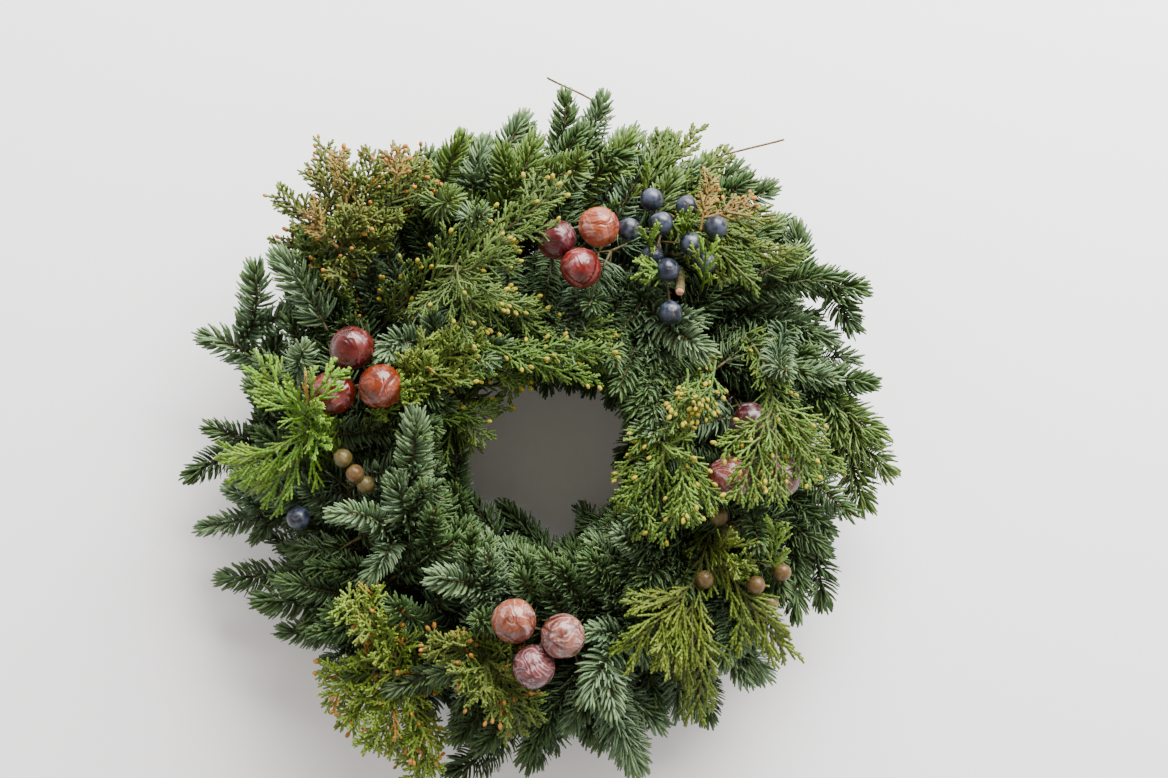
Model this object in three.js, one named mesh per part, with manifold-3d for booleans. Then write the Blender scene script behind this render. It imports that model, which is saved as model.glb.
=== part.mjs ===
// A fresh evergreen wreath, lying flat on its back.
//
// A wire ring carries bundles of fir, cedar, cypress and juniper. Every stem lies along the ring for one
// turn of the binding wire, comes out between two turns and climbs clockwise to its tips. The layout
// lists below give the tips as places on the wreath: [angle in degrees, distance from the middle, height].
import * as THREE from 'three';
import { mergeVertices } from 'three/addons/utils/BufferGeometryUtils.js';
import Module from 'manifold-3d';

const wasm = await Module();
wasm.setup();

// ---------------------------------------------------------------- driving dimensions, in millimetres
const RING_RADIUS = 100;
const RING_WIRE = 2.5;                 // radius of the ring's rod
const WIRE_SIDE = 1.1;                 // thickness of the binding wire
const TURNS = 24;                      // turns of the binding wire round the ring
const GAP = 0.3;                       // free space between any two pieces
const STEM_RADIUS = 1.05;
const SHOOT_RADIUS = 0.85;
const TIP_RADIUS = 0.6;
const RING_HEIGHT = WIRE_SIDE + GAP + RING_WIRE;
const SLACK = 0.15;                    // more room where straight rods follow a round way
const FIRST_LAYER = RING_WIRE + STEM_RADIUS + GAP + SLACK;
const LAYERS = [0, 1, 2].map(i => FIRST_LAYER + i * (2 * STEM_RADIUS + GAP + SLACK));
const LOWEST_FOLIAGE = 0.8;            // only the binding wire touches the surface
const NEEDLE_ROOM = [1.5, 0.75];       // half the width that a needle's root and its point keep free
const CURVE_SLACK = 0.5;               // room for a limb's bends between its stops
const WHORL_SPACING = 7.6;             // of needles along a shoot
const BRANCHLET_SPACING = 10;
const BRANCHLET_LENGTH = 13;
const CONE_RADIUS = 1.7;               // small pollen cones of the cedar
const RED_RADIUS = 11;
const SMALL_BERRY = 7;                 // berries up to this radius have fewer faces
const GAP_ANGLE = 360 / TURNS;

// ---------------------------------------------------------------- colours
const COLOURS = {
  ring: ['#3c3a33', 0.45, 0.8],
  wire: ['#5a4a30', 0.5, 0.6],
  frosted: ['#6f8378', 0.6, 0],
  deep: ['#3d4f33', 0.55, 0],
  fresh: ['#6f8443', 0.55, 0],
  cedar: ['#5f7a35', 0.6, 0],
  juniper: ['#77733a', 0.65, 0],
  cypress: ['#93a23d', 0.6, 0],
  red: ['#8a2f1d', 0.35, 0],
  blue: ['#44546e', 0.5, 0],
  tan: ['#9b8a52', 0.5, 0],
};

// ---------------------------------------------------------------- layout
// Fir sprays: name, look, angle where the stem is bound, needle length, then the shoots. A shoot runs
// from its heel to its tip. Its habit is round (needles all about), flat (needles to the sides and up)
// or star (the shoot points up and shows its needles as a star).
const FIR = [
  ['left_fork', 'frosted', 188, 13, [
    [[157, 136, 46], [161, 177, 42], 'round'], [[155, 152, 50], [147, 168, 52], 'flat'],
    [[163, 124, 58], [156, 123, 80], 'star']]],
  ['left_upright', 'deep', 172, 12, [[[152, 124, 56], [137, 156, 60], 'round']]],
  ['left_arc', 'deep', 200, 11, [
    [[178, 141, 36], [176, 168, 30], 'flat'], [[179, 152, 34], [184, 180, 24], 'flat'],
    [[168, 130, 46], [167, 147, 52], 'star']]],
  ['left_point', 'frosted', 212, 10, [
    [[193, 140, 38], [193, 178, 24], 'round'], [[190, 141, 44], [187, 158, 36], 'flat'],
    [[186, 140, 46], [181, 156, 38], 'flat']]],
  ['left_low', 'deep', 224, 12, [[[207, 136, 38], [202, 176, 22], 'round']]],
  ['low_left_upper', 'deep', 234, 13, [
    [[218, 122, 54], [208, 159, 38], 'flat'], [[229, 127, 52], [217, 128, 60], 'flat']]],
  ['low_left_lower', 'frosted', 248, 11, [
    [[224, 139, 30], [215, 162, 20], 'flat'], [[240, 142, 32], [229, 147, 30], 'flat'],
    [[249, 155, 30], [245, 167, 24], 'flat']]],
  ['top_left_umbrella', 'fresh', 154, 13, [
    [[110, 141, 56], [104, 158, 60], 'round'], [[114, 126, 74], [108, 129, 86], 'star']]],
  ['top_left_tip', 'frosted', 140, 12, [
    [[98, 145, 60], [93, 166, 48], 'round'], [[106, 133, 64], [100, 154, 56], 'round'],
    [[108, 112, 76], [103, 117, 88], 'star']]],
  ['top_brush', 'fresh', 136, 14, [
    [[95, 120, 76], [91, 151, 64], 'round'], [[82, 133, 66], [82, 142, 80], 'star']]],
  ['top_fork', 'deep', 124, 11, [
    [[83, 151, 52], [86, 178, 44], 'round'], [[80, 152, 52], [80, 180, 42], 'round']]],
  ['top_olive', 'fresh', 112, 12, [
    [[76, 134, 60], [74, 163, 46], 'round'], [[71, 155, 40], [68, 170, 32], 'flat']]],
  ['top_low', 'deep', 98, 12, [
    [[56, 155, 40], [55, 175, 26], 'flat'], [[50, 158, 40], [49, 177, 30], 'flat']]],
  ['right_fork', 'deep', 78, 13, [
    [[34, 156, 48], [27, 179, 46], 'flat'], [[28, 166, 46], [22, 169, 40], 'flat'],
    [[35, 159, 46], [41, 170, 40], 'round']]],
  ['right_shoulder', 'frosted', 66, 12, [
    [[27, 144, 52], [21, 156, 42], 'round'], [[20, 118, 72], [19, 124, 90], 'star']]],
  ['right_arm', 'deep', 54, 12, [[[15, 133, 56], [12, 167, 54], 'round']]],
  ['inner_top_fan', 'frosted', 90, 15, [[[48, 84, 72], [32, 94, 78], 'flat']]],
  ['right_bough', 'fresh', 44, 14, [
    [[10, 140, 62], [3, 168, 50], 'round'], [[5, 150, 58], [357, 174, 42], 'round'],
    [[357, 153, 46], [351, 166, 36], 'round']]],
  ['right_column', 'deep', 30, 13, [
    [[347, 132, 54], [328, 151, 44], 'round'], [[346, 143, 38], [332, 163, 28], 'flat']]],
  ['right_rosette', 'deep', 26, 11, [[[343, 113, 66], [338, 113, 84], 'star']]],
  ['low_right_comb', 'frosted', 6, 13, [
    [[323, 132, 54], [311, 136, 58], 'flat'], [[317, 141, 46], [315, 159, 34], 'flat']]],
  ['low_right_skirt', 'deep', 350, 13, [
    [[307, 126, 40], [293, 139, 28], 'flat'], [[307, 139, 36], [302, 161, 22], 'flat']]],
  ['bottom_plume', 'frosted', 332, 15, [
    [[290, 91, 76], [282, 118, 80], 'round'], [[286, 123, 50], [287, 166, 34], 'round']]],
  ['bottom_droop', 'deep', 314, 14, [
    [[271, 123, 56], [258, 145, 44], 'flat'], [[271, 144, 34], [268, 159, 26], 'flat'],
    [[263, 150, 32], [255, 171, 22], 'flat']]],
  ['bottom_dotted', 'deep', 346, 12, [[[313, 106, 58], [298, 94, 60], 'flat']]],
  ['inner_right_fan', 'deep', 345, 14, [
    [[325, 76, 74], [304, 83, 70], 'flat'], [[333, 63, 68], [328, 54, 88], 'star'],
    [[327, 60, 50], [303, 46, 34], 'flat']]],
  ['inner_bottom_comb', 'frosted', 304, 14, [[[253, 64, 70], [230, 76, 84], 'round']]],
  ['hole_bottom', 'deep', 318, 12, [
    [[288, 57, 50], [261, 60, 48], 'flat'], [[281, 56, 34], [250, 42, 22], 'round']]],
  ['hole_left', 'deep', 258, 11, [
    [[237, 57, 42], [202, 47, 56], 'flat'], [[198, 45, 50], [164, 43, 44], 'flat']]],
  ['inner_left_arc', 'frosted', 236, 14, [
    [[185, 54, 88], [163, 61, 88], 'round'], [[215, 73, 72], [190, 69, 82], 'flat']]],
  ['left_bud', 'frosted', 238, 11, [
    [[203, 72, 84], [196, 100, 88], 'round'], [[213, 82, 76], [216, 102, 74], 'flat']]],
  ['low_left_rosette', 'deep', 264, 12, [[[234, 107, 64], [226, 99, 80], 'star']]],
  ['bottom_left_rosette', 'deep', 280, 11, [[[256, 89, 66], [250, 83, 88], 'star']]],
  ['inner_top_left', 'frosted', 178, 12, [
    [[134, 55, 74], [107, 55, 82], 'flat'], [[137, 94, 76], [148, 86, 86], 'flat']]],
  ['inner_right_rim', 'deep', 28, 12, [
    [[23, 61, 70], [1, 51, 72], 'flat'], [[13, 52, 44], [353, 42, 38], 'flat']]],
  ['hole_top', 'deep', 100, 12, [
    [[75, 58, 46], [62, 42, 30], 'flat'], [[70, 87, 76], [71, 75, 88], 'star']]],
];

// Conifer fronds with scale leaves: name, look, angle where the stem is bound, the fork's place, the
// tips of its branches, and the pollen cones on them.
const FRONDS = [
  ['juniper_top_left', 'juniper', 174, [139, 128, 64],
    [[125, 184, 60], [134, 168, 58], [139, 160, 50], [119, 164, 74], [112, 153, 66], [128, 146, 80]], 0],
  ['cedar_top', 'cedar', 170, [128, 94, 88],
    [[85, 126, 92], [88, 97, 92], [100, 96, 94], [79, 84, 86], [92, 66, 82], [110, 76, 88]], 7],
  ['cedar_over_hole', 'cedar', 138, [94, 66, 70], [[45, 58, 72], [62, 60, 76], [92, 40, 66]], 4],
  ['cedar_hole_left', 'cedar', 165, [166, 50, 62], [[116, 44, 58], [140, 44, 56], [170, 40, 50]], 0],
  ['juniper_upright', 'juniper', 206, [172, 76, 74], [[133, 76, 92], [124, 64, 88], [146, 72, 84]], 0],
  ['cypress_left_fan', 'cypress', 208, [174, 98, 70],
    [[163, 140, 72], [168, 124, 84], [182, 143, 72], [187, 132, 66], [192, 120, 62], [158, 103, 96]], 0],
  ['cypress_top_right', 'cypress', 102, [66, 116, 60],
    [[64, 179, 48], [69, 166, 52], [58, 176, 50], [46, 162, 62], [37, 158, 68], [38, 132, 78]], 0],
  ['cedar_right_left', 'cedar', 62, [20, 84, 90],
    [[345, 42, 84], [333, 54, 86], [338, 74, 88], [8, 62, 84]], 6],
  ['cedar_right_down', 'cedar', 50, [18, 112, 82],
    [[350, 114, 94], [349, 97, 94], [357, 140, 80], [5, 126, 90]], 6],
  ['cypress_low_right', 'cypress', 14, [330, 100, 72],
    [[301, 116, 78], [296, 102, 80], [308, 120, 78], [336, 104, 82], [302, 148, 54], [321, 154, 58]], 0],
  ['juniper_low_left', 'juniper', 270, [240, 116, 58],
    [[233, 167, 50], [228, 152, 52], [241, 168, 46], [250, 172, 40], [216, 114, 80]], 4],
  ['juniper_bottom', 'juniper', 290, [262, 104, 72], [[240, 104, 80], [252, 112, 82], [266, 134, 66]], 3],
];

// Berry bunches: name, look, radius, angle where the stalk is bound, the place where the stalk forks,
// and the middle of each berry.
const BERRIES = [
  ['red_berries_left', 'red', RED_RADIUS, 176, [155, 91, 68],
    [[150, 102, 86], [156, 81, 90], [163, 102, 82]]],
  ['red_berries_top', 'red', RED_RADIUS * 0.9, 96, [79, 101, 68],
    [[85, 103, 84], [75, 112, 88], [77, 91, 90]]],
  ['red_berries_right', 'red', RED_RADIUS, 20, [358, 104, 62], [[353, 92, 82], [355, 116, 80], [8, 104, 74]]],
  ['red_berries_bottom', 'red', RED_RADIUS, 286, [271, 85, 70],
    [[262, 79, 90], [278, 86, 92], [269, 100, 88]]],
  ['blue_berries_top', 'blue', 5.6, 80, [61, 122, 66],
    [[68, 116, 84], [62, 125, 84], [54, 124, 86], [52, 138, 82], [66, 134, 78], [59, 139, 76], [55, 108, 82],
      [49, 122, 76], [60, 110, 74], [47, 93, 82]]],
  ['blue_berry_left', 'blue', 5.8, 214, [197, 118, 46], [[195, 122, 62]]],
  ['tan_berries_left', 'tan', 4.5, 204, [184, 90, 58],
    [[181, 94, 76], [186, 89, 74], [190, 85, 70], [169, 78, 66]]],
  ['tan_berries_inner_left', 'tan', 4.2, 168, [140, 54, 46], [[146, 60, 60], [130, 50, 58]]],
  ['tan_berries_right', 'tan', 4.5, 356, [333, 118, 54],
    [[341, 92, 74], [338, 101, 66], [323, 101, 70], [329, 123, 70], [334, 132, 64], [327, 135, 60]]],
];

// The binding wire winds clockwise once round the ring. Its free ends lie outward, first turn to tip.
const WIRE_FIRST_TURN = 427.5;
const WIRE_TURNS = TURNS - 1;
const WIRE_FIRST_END = [[64, 120, 11], [60, 160, 15], [60, 172, 24], [52, 202, 26]];
const WIRE_LAST_END = [[80, 122, 9], [79, 160, 16], [80, 178, 26], [89, 190, 30]];

// ---------------------------------------------------------------- small helpers
const radians = degrees => degrees * Math.PI / 180;

function place([angle, reach, height]) {
  return new THREE.Vector3(reach * Math.cos(radians(angle)), reach * Math.sin(radians(angle)), height);
}

// A point beside the ring: aside is outward from the rod's middle, above is upward.
function besideRing(angle, aside, above) {
  return place([angle, RING_RADIUS + aside, RING_HEIGHT + above]);
}

function randomSource(seed) {
  let state = seed;
  return () => {
    state = (state + 0x6D2B79F5) | 0;
    let mixed = Math.imul(state ^ (state >>> 15), 1 | state);
    mixed = (mixed + Math.imul(mixed ^ (mixed >>> 7), 61 | mixed)) ^ mixed;
    return ((mixed ^ (mixed >>> 14)) >>> 0) / 4294967296;
  };
}
const random = randomSource(20241);

function bezier(points, steps) {
  const curve = points.length === 4
    ? new THREE.CubicBezierCurve3(...points)
    : new THREE.QuadraticBezierCurve3(...points);
  return curve.getPoints(steps);
}

// ---------------------------------------------------------------- free space between pieces
// Every piece is a chain of rods with a radius. A new rod is allowed only where it stays clear of all rods
// of other pieces, and a spike only where it also stays clear of its own piece's other limbs.
const CELL = 14;
const TINY = 1e-9;
const cells = new Map();

function cellsOf(rod) {
  const keys = [];
  const low = rod.a.clone().min(rod.b).subScalar(rod.radius + GAP);
  const high = rod.a.clone().max(rod.b).addScalar(rod.radius + GAP);
  for (let i = Math.floor(low.x / CELL); i <= Math.floor(high.x / CELL); i += 1) {
    for (let j = Math.floor(low.y / CELL); j <= Math.floor(high.y / CELL); j += 1) {
      for (let k = Math.floor(low.z / CELL); k <= Math.floor(high.z / CELL); k += 1) {
        keys.push(`${i},${j},${k}`);
      }
    }
  }
  return keys;
}

function claim(rod) {
  for (const key of cellsOf(rod)) {
    if (!cells.has(key)) cells.set(key, []);
    cells.get(key).push(rod);
  }
}

function clamp01(value) {
  return Math.min(1, Math.max(0, value));
}

// Shortest distance between two rods' axes.
function axisDistance(p, q) {
  const along = p.b.clone().sub(p.a);
  const other = q.b.clone().sub(q.a);
  const between = p.a.clone().sub(q.a);
  const a = along.dot(along);
  const e = other.dot(other);
  const f = other.dot(between);
  const c = along.dot(between);
  if (e < TINY) return between.addScaledVector(along, clamp01(-c / Math.max(a, TINY))).length();
  if (a < TINY) return between.addScaledVector(other, -clamp01(f / e)).length();
  const b = along.dot(other);
  const spread = a * e - b * b;
  let s = spread > TINY ? clamp01((b * f - c * e) / spread) : 0;
  let t = (b * s + f) / e;
  if (t < 0 || t > 1) {
    t = clamp01(t);
    s = clamp01((b * t - c) / a);
  }
  return between.addScaledVector(along, s).addScaledVector(other, -t).length();
}

function touches(rod, taken) {
  const own = taken.piece === rod.piece && (!rod.limb || taken.limb === rod.limb);
  return !own && axisDistance(rod, taken) < taken.radius + rod.radius + GAP;
}

function isClear(rod) {
  return cellsOf(rod).every(key => !(cells.get(key) || []).some(taken => touches(rod, taken)));
}

function rodsOf(piece, points, radii, limb) {
  return points.slice(1).map((b, i) =>
    ({ piece, limb, a: points[i], b, radius: Math.max(radii[i], radii[i + 1]) }));
}

// ---------------------------------------------------------------- solids
function meshOf(vertices, index) {
  const geometry = new THREE.BufferGeometry();
  geometry.setAttribute('position', new THREE.Float32BufferAttribute(vertices.flatMap(p => p.toArray()), 3));
  geometry.setIndex(index);
  return geometry;
}

function solidOf(geometry) {
  for (const name of ['normal', 'uv']) geometry.deleteAttribute(name);
  const merged = mergeVertices(geometry, 1e-5);
  return new wasm.Manifold(new wasm.Mesh({
    numProp: 3,
    vertProperties: new Float32Array(merged.attributes.position.array),
    triVerts: new Uint32Array(merged.index.array),
  }));
}

// A closed skin over rings of equal length, each a list of points, from the first ring to the last.
function skin(rings) {
  const sides = rings[0].length;
  const index = [];
  for (let i = 0; i < rings.length - 1; i += 1) {
    for (let j = 0; j < sides; j += 1) {
      const here = i * sides + j;
      const next = i * sides + (j + 1) % sides;
      index.push(here, next, here + sides, next, next + sides, here + sides);
    }
  }
  const last = (rings.length - 1) * sides;
  for (let j = 1; j < sides - 1; j += 1) {
    index.push(0, j + 1, j, last, last + j, last + j + 1);
  }
  return solidOf(meshOf(rings.flat(), index));
}

// A three-sided tube along points, with a radius at each.
function tube(points, radii) {
  return skin(points.map((point, i) => {
    const before = points[Math.max(i - 1, 0)];
    const after = points[Math.min(i + 1, points.length - 1)];
    const [level, upper] = crossAxes(after.clone().sub(before).normalize());
    return TRIANGLE.map(corner => point.clone()
      .addScaledVector(level, radii[i] * Math.cos(radians(corner)))
      .addScaledVector(upper, radii[i] * Math.sin(radians(corner))));
  }));
}

// A small four-sided cone from its root to its point.
function smallCone(root, point) {
  const cone = new THREE.ConeGeometry(CONE_RADIUS, root.distanceTo(point), 4);
  const ahead = point.clone().sub(root).normalize();
  cone.applyQuaternion(new THREE.Quaternion().setFromUnitVectors(new THREE.Vector3(0, 1, 0), ahead));
  cone.translate(...root.clone().lerp(point, 0.5).toArray());
  return solidOf(cone);
}

function ball(middle, radius) {
  const sphere = radius > SMALL_BERRY
    ? new THREE.SphereGeometry(radius, 8, 5)
    : new THREE.SphereGeometry(radius, 6, 4);
  sphere.translate(middle.x, middle.y, middle.z);
  return solidOf(sphere);
}

// ---------------------------------------------------------------- ring and binding wire
function ringFrame() {
  const sides = 6;
  const steps = 36;
  const torus = new THREE.TorusGeometry(RING_RADIUS, RING_WIRE, sides, steps);
  torus.translate(0, 0, RING_HEIGHT);
  const points = Array.from({ length: steps + 1 }, (_, i) => besideRing((i * 360) / steps, 0, 0));
  rodsOf('ring_frame', points, points.map(() => RING_WIRE)).forEach(claim);
  return solidOf(torus);
}

// One turn of the wire, seen along the ring: offsets outward and upward from the rod's middle. It runs
// over the top, down the inner side, flat along the surface and up the outer side.
const WRAP_SIDE = LAYERS[2] + STEM_RADIUS + GAP + 1.2 * WIRE_SIDE;
const WRAP_BOTTOM = WIRE_SIDE / 2 - RING_HEIGHT;
const WRAP_FOOT = 0.75 * WRAP_SIDE;
const WRAP_CORNER = 0.58 * WRAP_SIDE;
const WRAP_WAIST = 0.2 * WRAP_SIDE;
const WRAP_TURN = [
  [WRAP_CORNER, WRAP_SIDE], [-WRAP_CORNER, WRAP_SIDE], [-WRAP_SIDE, WRAP_WAIST],
  [-WRAP_FOOT, WRAP_BOTTOM], [WRAP_FOOT, WRAP_BOTTOM], [WRAP_SIDE, WRAP_WAIST],
].map(([aside, above]) => new THREE.Vector2(aside, above));

// The miter at a corner between two directions: how far its outer edge lies from the middle line.
function miter(into, out) {
  const normals = [into, out].map(way => new THREE.Vector2(-way.y, way.x).normalize());
  return normals[0].clone().add(normals[1]).divideScalar(1 + normals[0].dot(normals[1]));
}

// The wire is square in section. Each turn's corners are mitred, so its foot is flat on the surface.
function bindingWire() {
  const half = WIRE_SIDE / 2;
  const corners = WRAP_TURN.length;
  const halfAngle = THREE.MathUtils.radToDeg(half / RING_RADIUS);
  const flatPlace = ([angle, reach, height]) =>
    [angle, new THREE.Vector2(reach - RING_RADIUS, height - RING_HEIGHT)];
  const way = WIRE_FIRST_END.map(flatPlace).reverse();
  for (let i = 0; i < WIRE_TURNS * corners; i += 1) {
    way.push([WIRE_FIRST_TURN - (GAP_ANGLE * i) / corners, WRAP_TURN[i % corners]]);
  }
  way.push(...WIRE_LAST_END.map(flatPlace));
  const rings = way.map(([angle, here], i) => {
    const into = here.clone().sub(way[Math.max(i - 1, 0)][1]);
    const out = way[Math.min(i + 1, way.length - 1)][1].clone().sub(here);
    const outer = miter(i ? into : out, i < way.length - 1 ? out : into).multiplyScalar(half);
    return [[1, 1], [1, -1], [-1, -1], [-1, 1]].map(([side, ahead]) =>
      besideRing(angle + ahead * halfAngle, here.x + side * outer.x, here.y + side * outer.y));
  });
  const middles = way.map(([angle, here]) => besideRing(angle, here.x, here.y));
  rodsOf('binding_wire', middles, middles.map(() => half * Math.SQRT2)).forEach(claim);
  return skin(rings);
}

// ---------------------------------------------------------------- stems
// Places round the rod where a stem may lie: degrees from the outward side, and the layer.
const SLOTS = [
  [90, 2], [72, 2], [108, 2], [90, 1], [68, 1], [112, 1], [54, 2], [126, 2], [36, 2], [144, 2],
  [90, 0], [46, 1], [134, 1], [52, 0], [128, 0], [24, 1], [156, 1], [18, 2], [162, 2], [14, 0], [166, 0],
  [2, 1], [178, 1],
];
// What is tried to get a stem past the others: where it starts and how far it follows the ring, how high
// it arches, and how far it swings outward or inward.
const STARTS = [[0, 0.3], [0, 0.15], [1, 0.3], [-1, 0.2], [0, 0.5], [2, 0.3], [1, 0.5], [-2, 0.15]];
const BOWS = [0, 5, -5, 10, -10, 16];
const SWINGS = [0, 6, -6, 12, -12, 20, -20];
const STEM_STEPS = 7;
const SHOOT_STEPS = 4;
const TIGHT_POINTS = 3;

function boundPart(angle, [slot, layer]) {
  const gap = Math.round(angle / GAP_ANGLE) * GAP_ANGLE;
  const aside = LAYERS[layer] * Math.cos(radians(slot));
  const above = LAYERS[layer] * Math.sin(radians(slot));
  return [1, 0.5, 0].map(share => besideRing(gap + share * GAP_ANGLE, aside, above));
}

function slotsToward(target) {
  const lean = Math.hypot(target.x, target.y) - RING_RADIUS;
  const wanted = 90 - THREE.MathUtils.clamp(lean * 1.6, -80, 80);
  return [...SLOTS].sort((p, q) => Math.abs(p[0] - wanted) - Math.abs(q[0] - wanted));
}

// The stem's way from the ring to its tip: the first that is clear of every other piece.
function stemRoute(piece, angle, heel, tip, radii) {
  for (const [turn, pull] of STARTS) {
    for (const bow of BOWS) {
      for (const swing of SWINGS) {
        for (const slot of slotsToward(heel)) {
          const bound = boundPart(angle + turn * GAP_ANGLE, slot);
          const exit = bound[2];
          const clockwise = exit.clone().sub(bound[1]).normalize();
          const outward = new THREE.Vector3(exit.x, exit.y, 0).normalize();
          const reach = exit.distanceTo(tip) * pull;
          const lead = exit.clone().addScaledVector(clockwise, reach).addScaledVector(outward, swing);
          lead.z += reach * 0.4 + Math.max(bow, 0);
          const late = heel.clone().addScaledVector(outward, swing * 0.5);
          late.z += bow * 0.5;
          const points = [bound[0], bound[1], ...bezier([exit, lead, late, tip], STEM_STEPS)];
          if (rodsOf(piece, points, radii).every(isClear)) return points;
        }
      }
    }
  }
  throw new Error(`no clear way for ${piece}`);
}

// A stem's radius at each of its points, and the room kept free round it. The first few points follow the
// ring, where there is no room to spare.
const STEM_TAPER = Array.from({ length: STEM_STEPS + 3 }, (_, i) =>
  THREE.MathUtils.lerp(STEM_RADIUS, TIP_RADIUS, Math.max(0, i - TIGHT_POINTS) / (STEM_STEPS - 1)));
const STEM_ROOM = STEM_TAPER.map((radius, i) => radius + (i > TIGHT_POINTS ? CURVE_SLACK : 0));

function mainStem(piece, angle, heel, tip) {
  const points = stemRoute(piece, angle, heel, tip, STEM_ROOM);
  rodsOf(piece, points, STEM_ROOM, 'main').forEach(claim);
  return { points, radii: STEM_TAPER, limb: 'main' };
}

// A side shoot leaves the main stem at the point nearest to its heel.
function sideShoot(piece, limb, main, heel, tip) {
  const radii = Array.from({ length: SHOOT_STEPS + 1 }, (_, i) =>
    THREE.MathUtils.lerp(SHOOT_RADIUS, TIP_RADIUS, i / SHOOT_STEPS));
  const room = radii.map(radius => radius + CURVE_SLACK);
  const last = main.points.length - 2;
  const byDistance = (p, q) => p.distanceTo(heel) - q.distanceTo(heel);
  const order = main.points.slice(TIGHT_POINTS, last + 1).sort(byDistance);
  for (const base of order.slice(0, 3)) {
    for (const bow of BOWS) {
      for (const swing of BOWS) {
        const outward = new THREE.Vector3(heel.x, heel.y, 0).normalize();
        const late = heel.clone().addScaledVector(outward, swing);
        late.z += bow;
        const points = bezier([base, late, tip], SHOOT_STEPS);
        const rods = rodsOf(piece, points, room);
        if (rods.every(isClear)) {
          rodsOf(piece, points, room, limb).forEach(claim);
          return { points, radii, limb };
        }
      }
    }
  }
  return null;
}

// ---------------------------------------------------------------- needles and branchlets
// Directions across a shoot: one level, one upward.
function crossAxes(ahead) {
  const level = new THREE.Vector3(0, 0, 1).cross(ahead);
  if (level.length() < 0.25) level.set(1, 0, 0).cross(ahead);
  level.normalize();
  return [level, ahead.clone().cross(level)];
}

// How the needles of a shoot stand: which of its three faces bear one, how far they lean from the
// shoot at its tip and further down, how far each whorl is turned from the one before, how far the side
// faces' needles droop from the faces' own direction, and the share of the stem that is bare.
const SIDE_BARE = 0.3;
const BARE_STEPS = 7;
const TRIANGLE = [90, 210, 330];
const HABITS = {
  round: { faces: [0, 1, 2], lean: [22, 58], twist: 25, droop: 0, from: 0.58 },
  flat: { faces: [0, 2], lean: [20, 55], twist: 0, droop: 8, from: 0.58 },
  star: { faces: [0, 1, 2], lean: [38, 82], twist: 25, droop: 0, from: 0.7 },
  frond: { faces: [0, 2], lean: [26, 44], twist: 0, droop: 24, from: 0.6 },
};

// A pointed end for a spike, shortened where another piece is in its way: null where there is no room.
function clearApex({ piece, limb }, root, direction, length) {
  for (const share of [1, 0.8, 0.6]) {
    const apex = root.clone().addScaledVector(direction, length * share);
    const middle = root.clone().lerp(apex, 0.5);
    const rods = [[root, middle], [middle, apex]].map(([a, b], i) =>
      ({ piece, limb, a, b, radius: NEEDLE_ROOM[i] }));
    if (apex.z > LOWEST_FOLIAGE && rods.every(isClear)) {
      rods.forEach(claim);
      return apex;
    }
  }
  return null;
}

// Where the rings of a limb's skin stand: a few along its bare part, then one for each whorl.
function limbStops(curve, shoot, spacing) {
  const total = curve.getLength();
  const { from, twist } = HABITS[shoot.habit];
  const bare = total * (shoot.isMain ? from : SIDE_BARE);
  const bareSteps = shoot.isMain ? BARE_STEPS : 1;
  const whorls = Math.max(3, Math.round((total - bare) / spacing));
  return Array.from({ length: bareSteps + whorls + 1 }, (_, i) => {
    const whorl = Math.max(0, i - bareSteps);
    const along = i < bareSteps ? (bare * i) / bareSteps : bare + ((total - bare) * whorl) / whorls;
    const share = Math.min(1, along / total);
    const radius = shoot.radii[Math.round(share * (shoot.radii.length - 1))];
    return {
      at: curve.getPointAt(share),
      ahead: curve.getTangentAt(share),
      bears: i >= bareSteps,
      down: 1 - whorl / whorls,
      turn: radians(twist * whorl),
      radius,
    };
  });
}

// A three-sided limb, whose spikes are raised from its faces. The middle face looks down.
function spikyLimb(shoot, spikeLength, spacing) {
  const habit = HABITS[shoot.habit];
  const stops = limbStops(new THREE.CatmullRomCurve3(shoot.points), shoot, spacing);
  const across = (stop, degrees) => {
    const [level, upper] = crossAxes(stop.ahead);
    const turn = radians(degrees) + stop.turn;
    return level.multiplyScalar(Math.cos(turn)).addScaledVector(upper, Math.sin(turn));
  };
  const vertices = stops.flatMap(stop =>
    TRIANGLE.map(corner => stop.at.clone().addScaledVector(across(stop, corner), stop.radius)));
  const index = [0, 2, 1];
  stops.slice(0, -1).forEach((stop, i) => {
    for (let face = 0; face < 3; face += 1) {
      const [a, b] = [i * 3 + face, i * 3 + ((face + 1) % 3)];
      const corners = [a, b, b + 3, a + 3];
      let apex = null;
      if (stop.bears && habit.faces.includes(face)) {
        const root = corners.reduce((sum, k) => sum.add(vertices[k]), new THREE.Vector3()).divideScalar(4);
        const lean = radians(THREE.MathUtils.lerp(...habit.lean, stop.down) + 10 * (random() - 0.5));
        const aside = across(stop, 150 + 120 * face + habit.droop * (1 - face) + 16 * (random() - 0.5));
        const way = stop.ahead.clone().multiplyScalar(Math.cos(lean)).addScaledVector(aside, Math.sin(lean));
        apex = clearApex(shoot, root, way, spikeLength * (0.85 + 0.3 * random()));
      }
      if (apex) {
        vertices.push(apex);
        corners.forEach((corner, k) => index.push(corner, corners[(k + 1) % 4], vertices.length - 1));
      } else {
        index.push(a, b, b + 3, a, b + 3, a + 3);
      }
    }
  });
  const end = (stops.length - 1) * 3;
  const last = stops.at(-1);
  const bluntTip = last.at.clone().addScaledVector(last.ahead, 0.5);
  vertices.push(clearApex(shoot, last.at, last.ahead, spikeLength * 0.8) || bluntTip);
  for (let k = 0; k < 3; k += 1) index.push(end + k, end + ((k + 1) % 3), vertices.length - 1);
  return solidOf(meshOf(vertices, index));
}

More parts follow.
